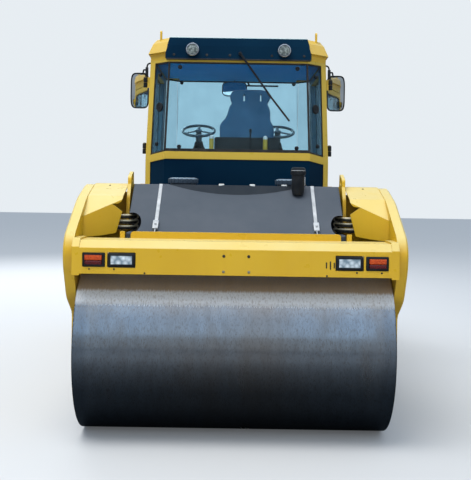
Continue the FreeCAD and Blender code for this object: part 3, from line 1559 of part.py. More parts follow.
def roof_lamps():
    """Round work lamps on the visors at both ends."""
    roof = cab_roof()
    lamps = []
    for y, way in ((-CAB_REAR + 28, -1), (CAB_FRONT - 28, 1)):
        for side in (-1, 1):
            start = Vector(side * ROOF_LAMP_X, y, ROOF_LAMP_HEIGHT)
            lamp = Part.makeCylinder(
                ROOF_LAMP_RADIUS, ROOF_LAMP_LENGTH, start, Vector(0, way, 0)
            )
            lamps.append(lamp.cut(roof))
    return Part.Compound(lamps)


def cab_platform():
    """Floor plate of the cab on four rubber mounts, bracketed forward over the pivot."""
    inset = 20
    cut = CAB_CHAMFER_X
    half = CAB_HALF - inset
    back = -CAB_REAR + inset
    front = CAB_FRONT - inset
    low = CAB_BASE - PLATFORM_THICKNESS
    plate = prism_z(
        [
            (half, back + cut, 0),
            (half, front - cut, 0),
            (half - cut, front, 0),
            (cut - half, front, 0),
            (-half, front - cut, 0),
            (-half, back + cut, 0),
            (cut - half, back, 0),
            (half - cut, back, 0),
        ],
        low,
        CAB_BASE,
    )
    pieces = [plate]
    for x in (-560, 560):
        for y in (-790, -500):
            foot = Vector(x, y, DECK_HEIGHT)
            pieces.append(Part.makeCylinder(CAB_MOUNT_RADIUS, CAB_MOUNT_HEIGHT, foot))
    return fused(pieces)


def operator_seat():
    """Seat with cushion, shaped backrest and headrest on a suspension base."""
    base = prism_z(
        rounded_rectangle(SEAT_X - 190, SEAT_X + 190, SEAT_Y - 200, SEAT_Y + 190, 40),
        CAB_BASE,
        CUSHION_TOP - 150,
    )
    half = SEAT_WIDTH / 2
    cushion = prism_x(
        [
            (SEAT_Y - 220, CUSHION_TOP - 150, 40),
            (SEAT_Y + 260, CUSHION_TOP - 150, 50),
            (SEAT_Y + 270, CUSHION_TOP - 10, 60),
            (SEAT_Y - 220, CUSHION_TOP - 30, 30),
        ],
        SEAT_X - half,
        SEAT_X + half,
    )
    top = CAB_BASE + CUSHION_RISE + BACKREST_RISE
    neck = top - HEADREST_HEIGHT
    back_outline = [
        (SEAT_X - half, CUSHION_TOP - 40, 60),
        (SEAT_X + half, CUSHION_TOP - 40, 60),
        (SEAT_X + half, CUSHION_TOP + 400, 90),
        (SEAT_X + 185, neck - 40, 90),
        (SEAT_X + 172, neck, 40),
        (SEAT_X + 176, top, 45),
        (SEAT_X - 176, top, 45),
        (SEAT_X - 172, neck, 40),
        (SEAT_X - 185, neck - 40, 90),
        (SEAT_X - half, CUSHION_TOP + 400, 90),
    ]
    back_front = SEAT_Y - 205
    back_rear = back_front - BACKREST_THICKNESS
    backrest = prism_y(back_outline, back_rear, back_front)
    for offset in (-62, 62):
        x = SEAT_X + offset
        slot = rounded_rectangle(x - 8, x + 8, neck + 8, top - 30, 6)
        backrest = backrest.cut(prism_y(slot, back_rear - 10, back_front + 10))
    link = block(
        SEAT_X - 120, SEAT_X + 120, back_rear + 30, back_front + 15,
        CUSHION_TOP - 140, CUSHION_TOP - 10,
    )
    return fused([base, cushion, backrest, link])


def control_consoles():
    """Two tapered consoles that carry the steering columns, and the box behind the seat."""
    pieces = []
    for side in (-1, 1):
        centre = wheel_centre(side)
        levels = (
            # height, half width, half length, distance ahead of the wheel
            (CAB_BASE, 110, 90, 110),
            (centre.z - 330, 80, 60, 110),
            (centre.z - 170, 50, 40, 75),
        )
        wires = []
        for height, half_x, half_y, ahead in levels:
            y = centre.y + ahead
            points = [
                Vector(centre.x - half_x, y - half_y, height),
                Vector(centre.x + half_x, y - half_y, height),
                Vector(centre.x + half_x, y + half_y, height),
                Vector(centre.x - half_x, y + half_y, height),
            ]
            wires.append(Part.makePolygon(points + points[:1]))
        console = Part.makeLoft(wires, True, True)
        column_end = centre - wheel_normal() * (WHEEL_HUB_BELOW + SEAT_GAP)
        column = bar(centre - wheel_normal() * 230, column_end, 22)
        pieces.append(fused([console, column]))
    x_low, x_high, y_low, y_high = REAR_BOX
    outline = [
        (x_low, CAB_BASE, 0),
        (x_high, CAB_BASE, 0),
        (x_high, CAB_BASE + REAR_BOX_RISE, 18),
        (x_low, CAB_BASE + REAR_BOX_RISE, 18),
    ]
    pieces.append(prism_y(outline, y_low, y_high))
    return Part.Compound(pieces)


def wheel_centre(side):
    return Vector(WHEEL_MIDDLE_X + side * WHEEL_X, WHEEL_Y, WHEEL_HEIGHT)


def wheel_normal():
    tilt = math.radians(WHEEL_TILT_DEGREES)
    return Vector(0, -math.sin(tilt), math.cos(tilt))


def steering_wheels():
    """Two steering wheels with three spokes each, tilted towards the seat."""
    wheels = []
    for side in (-1, 1):
        rim = Part.makeTorus(WHEEL_RADIUS, WHEEL_RIM_RADIUS)
        hub = Part.makeCylinder(32, 26, Vector(0, 0, -WHEEL_HUB_BELOW))
        pieces = [rim, hub]
        for number in range(3):
            angle = math.radians(90 + 120 * number)
            tip = Vector(math.cos(angle) * WHEEL_RADIUS, math.sin(angle) * WHEEL_RADIUS, 0)
            pieces.append(bar(Vector(0, 0, 4), tip, 8))
        wheel = fused(pieces)
        wheel.Placement = Placement(
            wheel_centre(side), Rotation(Vector(1, 0, 0), WHEEL_TILT_DEGREES)
        )
        wheels.append(wheel)
    return Part.Compound(wheels)


MIRROR_X = CAB_HALF + 181.0
MIRROR_HALF_WIDTH = 91.0
MIRROR_LOW = CAB_EAVE - 315.0
MIRROR_HIGH = CAB_EAVE + 37.0
MIRROR_Y = CAB_FRONT - 110.0
MIRROR_THICKNESS = 46.0
MIRROR_TUBE_RADIUS = 8.0
MIRROR_CLAMP_X = CAB_HALF + 116.0
MIRROR_CLAMP_HALF = 14.0
MIRROR_ARM = (
    # distance outside the cab's side, height over the eaves
    (-20.0, 116.0),
    (70.0, 134.0),
    (98.0, 126.0),
    (116.0, 90.0),
)
MIRROR_LINK = (
    (116.0, 64.0),
    (140.0, 68.0),
    (152.0, 58.0),
    (154.0, 20.0),
)


def tube_run(side, y, places):
    """Round tube with ball corners through places given beside the cab's eaves."""
    points = []
    for beyond, rise in places:
        points.append(Vector(side * (CAB_HALF + beyond), y, CAB_EAVE + rise))
    pieces = [Part.makeSphere(MIRROR_TUBE_RADIUS, point) for point in points[1:-1]]
    for start, end in zip(points, points[1:]):
        pieces.append(bar(start, end, MIRROR_TUBE_RADIUS))
    return pieces


def mirrors():
    """Outside mirrors on tube arms from the front roof corners, and the inside mirror."""
    pieces = []
    roof = roof_form()
    for side in (-1, 1):
        x = side * MIRROR_X
        outline = rounded_rectangle(
            x - MIRROR_HALF_WIDTH, x + MIRROR_HALF_WIDTH, MIRROR_LOW, MIRROR_HIGH, 38
        )
        head = prism_y(outline, MIRROR_Y, MIRROR_Y + MIRROR_THICKNESS)
        y = MIRROR_Y + MIRROR_THICKNESS / 2
        clamp_x = side * MIRROR_CLAMP_X
        clamp = block(
            clamp_x - MIRROR_CLAMP_HALF, clamp_x + MIRROR_CLAMP_HALF,
            y - MIRROR_CLAMP_HALF, y + MIRROR_CLAMP_HALF,
            CAB_EAVE - 10, CAB_EAVE + 95,
        )
        arm = tube_run(side, y, MIRROR_ARM) + tube_run(side, y, MIRROR_LINK)
        pieces.append(fused([head, clamp] + arm).cut(roof))
    y = CAB_FRONT - 175
    outline = rounded_rectangle(
        INNER_MIRROR_X - 122, INNER_MIRROR_X + 122, CAB_EAVE - 194, CAB_EAVE - 47, 32
    )
    inner = prism_y(outline, y - 15, y + 15)
    stem = bar(Vector(INNER_MIRROR_X, y, CAB_EAVE - 60), Vector(INNER_MIRROR_X, y, CAB_EAVE), 6)
    pieces.append(fused([inner, stem]))
    return Part.Compound(pieces)


REAR_WIPER = (
    # x, height over the eaves of pivot, elbow and blade tip
    (15.0, 45.0),
    (280.0, -320.0),
    (435.0, -515.0),
)
FRONT_WIPER = (
    (60.0, 45.0),
    (117.0, -62.0),
    (406.0, -62.0),
)
WIPER_STAND_OFF = 12.0


def wiper(points, face, way):
    """Wiper arm and blade in front of a pane, with its pivot on the visor."""
    y = face + way * WIPER_STAND_OFF
    pivot, elbow, tip = [Vector(x, y, CAB_EAVE + rise) for x, rise in points]
    slant = (elbow - pivot).normalize()
    arm = bar(pivot, elbow, 6)
    blade = bar(elbow - slant * 20, tip, 5)
    hub = Part.makeCylinder(16, 70, pivot + Vector(0, way * 8, 0), Vector(0, -way, 0))
    return fused([arm, blade, hub]).cut(cab_roof()).cut(cab_frame_shell())


def wipers():
    """Rear and front wipers."""
    rear_face = -CAB_REAR + CAB_TAPER / 2
    front_face = CAB_FRONT - CAB_TAPER / 2
    return Part.Compound(
        [wiper(REAR_WIPER, rear_face - 15, -1), wiper(FRONT_WIPER, front_face + 15, 1)]
    )


def handrails():
    """Grab rails on the front posts beside the doors."""
    rails = []
    for side in (-1, 1):
        x = side * (CAB_HALF + 62)
        y = DOOR_FRONT + 48
        low = Vector(x, y, CAB_BASE + 120)
        high = Vector(x, y, CAB_BASE + 580)
        pieces = [bar(low, high, 14), Part.makeSphere(14, low), Part.makeSphere(14, high)]
        for end in (low, high):
            pieces.append(bar(end, Vector(side * (CAB_HALF + 0.2), y, end.z), 14))
        rails.append(fused(pieces))
    return Part.Compound(rails)


def save_all():
    os.makedirs("parts", exist_ok=True)
    save("rear_centre_frame", rear_centre_frame())
    save("rear_side_plates", rear(side_plates(DECK_HEIGHT)))
    save("rear_end_beam", rear(end_beam()))
    save("rear_lamps", rear(end_lamps()))
    save("rear_corner_covers", rear(corner_covers()))
    save("rear_lifting_plates", rear(lifting_plates()))
    save("rear_hub_carriers", rear(hub_carriers()))
    save("rear_drum_fittings", rear(drum_fittings()))
    save("rear_drum", rear(drum()))
    save("rear_hoses", hoses())
    save("water_tank", water_tank())
    save("tank_fittings", tank_fittings())
    save("tank_straps", tank_straps())
    save("access_steps", access_steps())
    save("articulation_yoke", articulation_yoke())
    for name, side in (("left", -1), ("right", 1)):
        save("steering_barrel_" + name, steering_barrel(side))
        save("steering_rod_" + name, steering_rod(side))
        save("door_frame_" + name, door_frame(side))
        save("door_glass_" + name, door_glass(side))
    save("cab_platform", cab_platform())
    save("cab_frame", cab_frame())
    save("cab_panels", cab_panels())
    save("cab_glass", cab_glass())
    save("cab_roof", cab_roof())
    save("roof_sides", roof_sides())
    save("roof_lamps", roof_lamps())
    save("operator_seat", operator_seat())
    save("control_consoles", control_consoles())
    save("steering_wheels", steering_wheels())
    save("mirrors", mirrors())
    save("wipers", wipers())
    save("handrails", handrails())
    save("front_centre_frame", front_centre_frame())
    save("front_side_plates", side_plates(FRONT_DECK_HEIGHT))
    save("front_end_beam", fused([end_beam()] + hood_hinge_pins()))
    save("front_lamps", end_lamps())
    save("front_corner_covers", corner_covers())
    save("front_lifting_plates", lifting_plates())
    save("front_hub_carriers", hub_carriers())
    save("front_drum_fittings", drum_fittings())
    save("front_drum", drum())
    save("engine_block", engine_block())
    save("engine_hood", engine_hood())
    save("hood_grilles", hood_grilles())


save_all()
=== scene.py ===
import math

import bpy
from mathutils import Matrix, Vector


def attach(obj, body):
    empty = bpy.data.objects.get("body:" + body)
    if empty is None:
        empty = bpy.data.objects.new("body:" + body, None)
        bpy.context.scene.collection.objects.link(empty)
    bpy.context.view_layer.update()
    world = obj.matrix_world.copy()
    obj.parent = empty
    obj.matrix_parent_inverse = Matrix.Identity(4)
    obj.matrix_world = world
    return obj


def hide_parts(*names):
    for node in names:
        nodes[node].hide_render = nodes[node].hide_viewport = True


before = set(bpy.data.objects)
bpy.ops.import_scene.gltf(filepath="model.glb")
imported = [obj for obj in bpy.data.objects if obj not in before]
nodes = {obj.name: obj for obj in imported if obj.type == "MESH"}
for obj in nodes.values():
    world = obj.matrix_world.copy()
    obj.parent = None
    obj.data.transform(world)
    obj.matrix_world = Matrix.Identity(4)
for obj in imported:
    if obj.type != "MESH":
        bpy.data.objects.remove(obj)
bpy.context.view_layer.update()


# The studio: a plain floor and a pale sky that is darker low down, soft lamps above, before and
# behind the machine, and the camera head on to the water tank's end, as high as the tank.
def clear_selection():
    if bpy.context.object and bpy.context.object.mode != "OBJECT":
        bpy.ops.object.mode_set(mode="OBJECT")
    bpy.ops.object.select_all(action="DESELECT")


def new_material(name):
    """A material with its Principled shader, ready for its own nodes."""
    material = bpy.data.materials.new(name)
    material.use_nodes = True
    return material, material.node_tree, material.node_tree.nodes["Principled BSDF"]


def math_node(tree, operation, first, second):
    """Math node on two sockets or numbers, kept within 0 and 1; gives its output."""
    node = tree.nodes.new("ShaderNodeMath")
    node.operation = operation
    node.use_clamp = True
    for socket, value in zip(node.inputs, (first, second)):
        if isinstance(value, (int, float)):
            socket.default_value = value
        else:
            tree.links.new(value, socket)
    return node.outputs[0]


def ranged(tree, value, low, high, to_low=0.0, to_high=1.0):
    """Map Range, clamped; gives its result."""
    node = tree.nodes.new("ShaderNodeMapRange")
    for name, number in zip(("From Min", "From Max", "To Min", "To Max"), (low, high, to_low, to_high)):
        node.inputs[name].default_value = number
    tree.links.new(value, node.inputs["Value"])
    return node.outputs["Result"]


def mixed(tree, factor, first, second):
    """Colour mix; colours are sockets or tuples."""
    node = tree.nodes.new("ShaderNodeMix")
    node.data_type = "RGBA"
    tree.links.new(factor, node.inputs["Factor"])
    for socket, value in ((node.inputs["A"], first), (node.inputs["B"], second)):
        if isinstance(value, tuple):
            socket.default_value = (*value, 1)
        else:
            tree.links.new(value, socket)
    return node.outputs["Result"]


def object_coordinates(tree):
    return tree.nodes.new("ShaderNodeTexCoord").outputs["Object"]


def axes(tree, vector):
    """Splits a vector; gives its outputs X, Y and Z."""
    node = tree.nodes.new("ShaderNodeSeparateXYZ")
    tree.links.new(vector, node.inputs[0])
    return node.outputs


def ray(tree, kind):
    """1 for rays of a kind, such as Glossy."""
    return tree.nodes.new("ShaderNodeLightPath").outputs["Is " + kind + " Ray"]


def seen_ray(tree):
    """1 where the camera sees the surface, also through glass."""
    return math_node(tree, "MAXIMUM", ray(tree, "Camera"), ray(tree, "Transmission"))


FLOOR_GREY = (0.50, 0.51, 0.52)
FLOOR_MIRRORED_FAR, FLOOR_MIRRORED_PAINTED_SHADOW = (0.110, 0.118, 0.126), (0.010, 0.013, 0.016)
clear_selection()
bpy.ops.mesh.primitive_plane_add(size=80)
studio_floor = bpy.context.object
studio_floor.name = "studio_floor"
material, tree, shader = new_material("studio_floor_grey")
shader.inputs["Roughness"].default_value = 0.9
shader.inputs["Emission Color"].default_value = (0.86, 0.90, 0.94, 1)
# Reflections see a darker floor than the camera does, darkest close to the machine: a painted shadow of the machine
# in its reflections.
length = axes(tree, object_coordinates(tree))["Y"]
painted_shadow_near = math_node(tree, "MINIMUM", ranged(tree, length, -5.0, -2.6), ranged(tree, length, 5.0, 2.6))
mirrored_floor_with_painted_shadow = mixed(tree, painted_shadow_near, FLOOR_MIRRORED_FAR, FLOOR_MIRRORED_PAINTED_SHADOW)
tree.links.new(mixed(tree, ray(tree, "Glossy"), FLOOR_GREY, mirrored_floor_with_painted_shadow), shader.inputs["Base Color"])
tree.links.new(math_node(tree, "MULTIPLY", seen_ray(tree), 0.09), shader.inputs["Emission Strength"])
studio_floor.data.materials.append(material)

for name, place, aim, size, power, colour in (
    ("overhead_lamp", (-3.5, -5.5, 14.0), (0, -0.8, 1.0), (9, 9), 1880, (1.0, 0.97, 0.92)),
    ("camera_side_lamp", (3.0, -10.5, 5.5), (0, -1.5, 1.2), (12, 6), 255, (1.0, 0.98, 0.95)),
    ("far_side_lamp", (-4.0, 8.5, 6.5), (0, 1.0, 1.0), (6, 5), 650, (1.0, 1.0, 1.0)),
):
    clear_selection()
    bpy.ops.object.light_add(type="AREA", location=place)
    lamp = bpy.context.object
    lamp.name = name
    lamp.data.shape = "RECTANGLE"
    lamp.data.size, lamp.data.size_y = size
    lamp.data.energy = power
    lamp.data.color = colour
    lamp.rotation_euler = (Vector(aim) - Vector(place)).to_track_quat("-Z", "Y").to_euler()
    lamp.visible_glossy = False

SKY_COLOURS = (
    (0.0, (0.14, 0.16, 0.18)), (0.95, (0.86, 0.91, 0.97)), (0.25, (0.18, 0.22, 0.26)),
    (0.30, (0.38, 0.51, 0.66)), (0.62, (0.42, 0.56, 0.74)),
)
SKY_SEEN = (0.80, 0.85, 0.89)
world = bpy.data.worlds.new("studio_world")
bpy.context.scene.world = world
world.use_nodes = True
tree = world.node_tree
gradient = tree.nodes.new("ShaderNodeValToRGB")
direction = tree.nodes.new("ShaderNodeTexCoord").outputs["Generated"]
tree.links.new(axes(tree, direction)["Z"], gradient.inputs[0])
stops = gradient.color_ramp.elements
for number, (position, colour) in enumerate(SKY_COLOURS):
    stop = stops[number] if number < 2 else stops.new(position)
    stop.position, stop.color = position, (*colour, 1)
pale = math_node(tree, "MAXIMUM", seen_ray(tree), math_node(tree, "MULTIPLY", ray(tree, "Glossy"), 0.2))
sky = mixed(tree, pale, gradient.outputs["Color"], SKY_SEEN)
tree.links.new(sky, tree.nodes["Background"].inputs["Color"])
bpy.context.scene.view_settings.view_transform = "Standard"

EYE = Vector((-0.008, -7.955, 1.745))
LONG_SIDE, HORIZON_PIXEL, FOCAL_PIXELS = 480, 185.0, 841.0
SENSOR, ROLL_DEGREES = 36.0, 0.88
clear_selection()
bpy.ops.object.camera_add(location=EYE, rotation=(math.radians(90), math.radians(-ROLL_DEGREES), 0))
camera = bpy.context.object
camera.name = "photo_camera"
camera.data.sensor_width = SENSOR
camera.data.lens = FOCAL_PIXELS / LONG_SIDE * SENSOR
camera.data.shift_y = (HORIZON_PIXEL - LONG_SIDE / 2) / LONG_SIDE
camera.data.clip_end = 200
bpy.context.scene.camera = camera


# The painted frames: thick side plates, the folded end beams, corner covers, lifting plates and
# decks. Cut and folded steel plate, welded, in a glossy machine yellow with rain streaks and road
# dust low down; its tops are paler, partly from chalking in the sun and partly as painted sunlight.
# The cab and roof are more faded.
def noise(tree, vector, scale, detail, stretch=None):
    """Noise texture on a vector, stretched per axis; gives its factor."""
    if stretch:
        mapping = tree.nodes.new("ShaderNodeMapping")
        mapping.inputs["Scale"].default_value = stretch
        tree.links.new(vector, mapping.inputs["Vector"])
        vector = mapping.outputs["Vector"]
    texture = tree.nodes.new("ShaderNodeTexNoise")
    texture.inputs["Scale"].default_value = scale
    texture.inputs["Detail"].default_value = detail
    tree.links.new(vector, texture.inputs["Vector"])
    return texture.outputs["Fac"]


def bumped(tree, height, strength, distance, normal=None):
    """Bump node; gives its normal."""
    node = tree.nodes.new("ShaderNodeBump")
    node.inputs["Strength"].default_value = strength
    node.inputs["Distance"].default_value = distance
    tree.links.new(height, node.inputs["Height"])
    if normal:
        tree.links.new(normal, node.inputs["Normal"])
    return node.outputs["Normal"]


def facing_up(tree):
    """1 where a surface looks up, 0 where it stands, less where it looks down."""
    return axes(tree, tree.nodes.new("ShaderNodeNewGeometry").outputs["Normal"])["Z"]


def weathering_group():
    """Masks and normal of old outdoor paint: patches, rain streaks, paler tops that are partly chalking and partly
    painted sunlight, and a dusting low down.
    """
    tree = bpy.data.node_groups.new("weathering", "ShaderNodeTree")
    for mask in ("Patches", "Streaks", "Chalky_sunlit_tops", "Dust", "Gloss"):
        tree.interface.new_socket(mask, in_out="OUTPUT", socket_type="NodeSocketFloat")
    tree.interface.new_socket("Normal", in_out="OUTPUT", socket_type="NodeSocketVector")
    place = object_coordinates(tree)
    patches = ranged(tree, noise(tree, place, 2.6, 5), 0.35, 0.72)
    streaks = ranged(tree, noise(tree, place, 1.0, 4, (24, 24, 1.6)), 0.56, 0.80)
    # Paler tops: up-facing faces are lightened, partly chalking and partly painted sunlight.
    tops = math_node(
        tree, "MULTIPLY", ranged(tree, facing_up(tree), 0.20, 0.75), ranged(tree, patches, 0, 1, 0.7, 1)
    )
    low = ranged(tree, axes(tree, place)["Z"], 1.15, 0.25)
    dust_and_painted_band = math_node(tree, "MULTIPLY", low, ranged(tree, noise(tree, place, 7.0, 6), 0.36, 0.66))
    gloss = ranged(tree, noise(tree, place, 11, 3), 0.3, 0.75, 0.26, 0.48)
    rounded = tree.nodes.new("ShaderNodeBevel")
    rounded.samples = 3
    rounded.inputs["Radius"].default_value = 0.004
    soft = bumped(tree, noise(tree, place, 5, 2), 0.25, 0.004, rounded.outputs["Normal"])
    grain = bumped(tree, noise(tree, place, 160, 2), 0.12, 0.0006, soft)
    out = tree.nodes.new("NodeGroupOutput")
    for socket, value in zip(out.inputs, (patches, streaks, tops, dust_and_painted_band, gloss, grain)):
        tree.links.new(value, socket)
    return tree


WEATHERING = weathering_group()
ROAD_DUST = (0.33, 0.27, 0.19)


def painted(name, colour, deep, pale, amounts):
    """Weathered paint: deep in patches and streaks, pale on tops for chalking and painted sunlight, with a dusting
    low down, by four amounts.
    """
    material, tree, shader = new_material(name)
    age = tree.nodes.new("ShaderNodeGroup")
    age.node_tree = WEATHERING
    layers = (("Patches", deep), ("Streaks", deep), ("Chalky_sunlit_tops", pale), ("Dust", ROAD_DUST))
    for (mask, layer), amount in zip(layers, amounts):
        colour = mixed(tree, math_node(tree, "MULTIPLY", age.outputs[mask], amount), colour, layer)
    tree.links.new(colour, shader.inputs["Base Color"])
    tree.links.new(age.outputs["Gloss"], shader.inputs["Roughness"])
    tree.links.new(age.outputs["Normal"], shader.inputs["Normal"])
    return material


def dress(material, *names):
    """Puts a material on finished solids."""
    for name in names:
        for slot in nodes[name].material_slots:
            slot.link = "OBJECT"
            slot.material = material


yellow = painted(
    "machine_yellow", (0.68, 0.42, 0.022), (0.58, 0.32, 0.010), (0.68, 0.61, 0.28), (0.35, 0.30, 0.80, 0.45)
)
for end in ("rear_", "front_"):
    for piece in ("centre_frame", "side_plates", "end_beam", "corner_covers", "lifting_plates"):
        dress(yellow, end + piece)
dress(yellow, "handrails", "engine_hood")
faded_yellow = painted(
    "cab_yellow", (0.60, 0.42, 0.050), (0.52, 0.33, 0.030), (0.70, 0.62, 0.30), (0.35, 0.30, 0.60, 0.35)
)
dress(faded_yellow, "cab_frame", "door_frame_left", "door_frame_right")
roof_yellow = painted(
    "roof_yellow", (0.64, 0.40, 0.030), (0.54, 0.31, 0.015), (0.66, 0.54, 0.20), (0.35, 0.30, 0.45, 0.35)
)
dress(roof_yellow, "roof_sides")


# The running gear: hub carriers, articulation yoke, scrapers, steps, cab floor and the steering
# cylinders. Castings and plate in a dark satin paint, with dust low down; the rods of the
# cylinders are ground and hard-chromed.
def two_tone(name, drift, first, second, gloss, grain=None, metallic=0.0, specular=0.5, tops=None):
    """Finish that drifts between two colours.

    drift: noise scale and detail, mask range. gloss: one roughness, or noise scale and detail, least
    and most roughness. grain: noise scale and detail, strength and depth. tops: range of facing up,
    amount and colour there.
    """
    material, tree, shader = new_material(name)
    place = object_coordinates(tree)
    colour = mixed(tree, ranged(tree, noise(tree, place, *drift[:2]), *drift[2:]), first, second)
    if tops:
        low, high, amount, pale = tops
        colour = mixed(tree, ranged(tree, facing_up(tree), low, high, 0, amount), colour, pale)
    tree.links.new(colour, shader.inputs["Base Color"])
    if isinstance(gloss, float):
        shader.inputs["Roughness"].default_value = gloss
    else:
        rough = ranged(tree, noise(tree, place, *gloss[:2]), 0.3, 0.7, *gloss[2:])
        tree.links.new(rough, shader.inputs["Roughness"])
    if grain:
        tree.links.new(bumped(tree, noise(tree, place, *grain[:2]), *grain[2:]), shader.inputs["Normal"])
    shader.inputs["Metallic"].default_value = metallic
    shader.inputs["Specular IOR Level"].default_value = specular
    return material


dark_paint = painted(
    "dark_satin_paint", (0.030, 0.032, 0.034), (0.016, 0.016, 0.017), (0.10, 0.10, 0.095), (0.5, 0.3, 0.5, 0.35)
)
for end in ("rear", "front"):
    dress(dark_paint, end + "_hub_carriers", end + "_drum_fittings")
dress(dark_paint, "access_steps", "articulation_yoke", "cab_platform", "engine_block")
dress(dark_paint, "steering_barrel_left", "steering_barrel_right")
rod_chrome = two_tone(
    "ground_chrome", (30, 3, 0.4, 0.7), (0.74, 0.75, 0.77), (0.55, 0.56, 0.58), (90, 2, 0.08, 0.22), metallic=1.0
)
dress(rod_chrome, "steering_rod_left", "steering_rod_right")


# The drums: rolled steel shells, polished grey by the asphalt, with rusty blotches, a brown stain
# in the middle, fine scratches round the rolling way and a bluish worn rim at each edge. Under each
# end beam runs a matte band of painted light: a pale painted highlight low down that turns above
# into a brown painted reflection of the beam's shaded underside.
drum_steel, tree, shader = new_material("rolled_steel")
place = object_coordinates(tree)
across, along, upright = axes(tree, place)
off_middle = math_node(tree, "ABSOLUTE", across, 0)
scratches = noise(tree, place, 6.0, 5, (30, 1.0, 1.0))
rust = ranged(tree, noise(tree, place, 1.9, 6, (2.6, 1, 1)), 0.54, 0.78)
haze = ranged(tree, noise(tree, place, 7, 5, (3, 1, 1)), 0.35, 0.75)
colour = mixed(tree, haze, (0.46, 0.52, 0.59), (0.37, 0.41, 0.46))
colour = mixed(tree, math_node(tree, "MULTIPLY", rust, 0.45), colour, (0.34, 0.25, 0.17))
blotches = ranged(tree, noise(tree, place, 2.3, 4, (3, 1, 1)), 0.25, 0.65, 0.15, 0.55)
stain = math_node(tree, "MULTIPLY", ranged(tree, off_middle, 0.75, 0.15), blotches)
colour = mixed(tree, stain, colour, (0.40, 0.33, 0.27))
rim = ranged(tree, off_middle, 0.96, 1.0)
colour = mixed(tree, math_node(tree, "MULTIPLY", rim, 0.4), colour, (0.26, 0.33, 0.42))
# A matte band under each end beam is painted light: pale for a painted highlight, brown higher up for the painted
# reflection of the beam's shaded underside.
outer = math_node(tree, "ADD", ranged(tree, along, -2.04, -2.18), ranged(tree, along, 2.04, 2.18))
ragged = math_node(tree, "ADD", ranged(tree, upright, 0.9, 1.1), math_node(tree, "MULTIPLY", scratches, 0.16))
painted_band = math_node(tree, "MULTIPLY", outer, ranged(tree, ragged, 0.22, 0.38, 0, 0.8))
dust_and_painted_band = mixed(tree, ranged(tree, ragged, 0.66, 0.74), (0.72, 0.75, 0.79), (0.38, 0.26, 0.145))
colour = mixed(tree, painted_band, colour, dust_and_painted_band)
specks = ranged(tree, noise(tree, place, 48, 4, (2.4, 1, 1)), 0.50, 0.70, 0, 0.55)
tree.links.new(mixed(tree, specks, colour, (0.27, 0.24, 0.22)), shader.inputs["Base Color"])
tree.links.new(math_node(tree, "SUBTRACT", 1.0, painted_band), shader.inputs["Metallic"])
rough = ranged(tree, scratches, 0.25, 0.75, 0.14, 0.24)
for mask, more in ((painted_band, 0.4), (rust, 0.15)):
    rough = math_node(tree, "ADD", rough, math_node(tree, "MULTIPLY", mask, more))
tree.links.new(rough, shader.inputs["Roughness"])
tree.links.new(bumped(tree, scratches, 0.12, 0.0006), shader.inputs["Normal"])
dress(drum_steel, "rear_drum", "front_drum")


# The water tank over the rear drum and its breather, caps and stack: rotation-moulded plastic in
# dark blue-grey, with a fine pebble grain, faded by the sun on top and in soft patches in front.
tank_plastic = two_tone(
    "moulded_tank", (3.2, 4, 0.3, 0.7), (0.034, 0.045, 0.060), (0.058, 0.068, 0.084), (14, 3, 0.48, 0.62),
    grain=(420, 2, 0.35, 0.0007), specular=0.25, tops=(0.3, 0.95, 0.45, (0.12, 0.14, 0.17)),
)
dress(tank_plastic, "water_tank", "tank_fittings")


# Dark gloss panels: the visor at each end of the roof and the panels under the windows. Moulded
# sheet in a blue-black gloss that mirrors the sky in its upper part, with a film of dust.
navy_gloss = two_tone(
    "navy_gloss", (1.6, 2, 0.3, 0.75), (0.0010, 0.013, 0.033), (0.003, 0.024, 0.052), (5, 3, 0.08, 0.16),
    grain=(1.5, 1, 0.15, 0.004), specular=0.05,
)
dress(navy_gloss, "cab_roof", "cab_panels")


# The cab's glass: flat safety panes tinted blue-green, glued in, darker where they are seen at a
# slant, with smears of dust.
tinted_glass, tree, shader = new_material("tinted_glass")
shader.inputs["Transmission Weight"].default_value = 1.0
shader.inputs["IOR"].default_value = 1.2
smear = ranged(tree, noise(tree, object_coordinates(tree), 6, 4), 0.4, 0.8)
slanted = tree.nodes.new("ShaderNodeLayerWeight")
slanted.inputs["Blend"].default_value = 0.35
tint = mixed(tree, smear, (0.60, 0.79, 0.87), (0.55, 0.73, 0.81))
tint = mixed(tree, ranged(tree, slanted.outputs["Facing"], 0.10, 0.45, 0, 0.9), tint, (0.12, 0.20, 0.24))
tree.links.new(tint, shader.inputs["Base Color"])
tree.links.new(ranged(tree, smear, 0, 1, 0.0, 0.02), shader.inputs["Roughness"])
passing = math_node(tree, "MAXIMUM", ray(tree, "Shadow"), ray(tree, "Diffuse"))
tree.links.new(math_node(tree, "SUBTRACT", 1.0, math_node(tree, "MULTIPLY", passing, 0.7)), shader.inputs["Alpha"])
dress(tinted_glass, "cab_glass", "door_glass_left", "door_glass_right")


# Rubber, moulded black parts and bright strips: extruded hoses, grained plastic for grilles,
# consoles, mirror backs and lamp housings, and thin drawn steel for the tank's straps.
black_rubber = two_tone(
    "black_rubber", (25, 4, 0.35, 0.7), (0.012, 0.012, 0.012), (0.035, 0.034, 0.032), (60, 3, 0.40, 0.62),
    grain=(300, 2, 0.3, 0.0005),
)
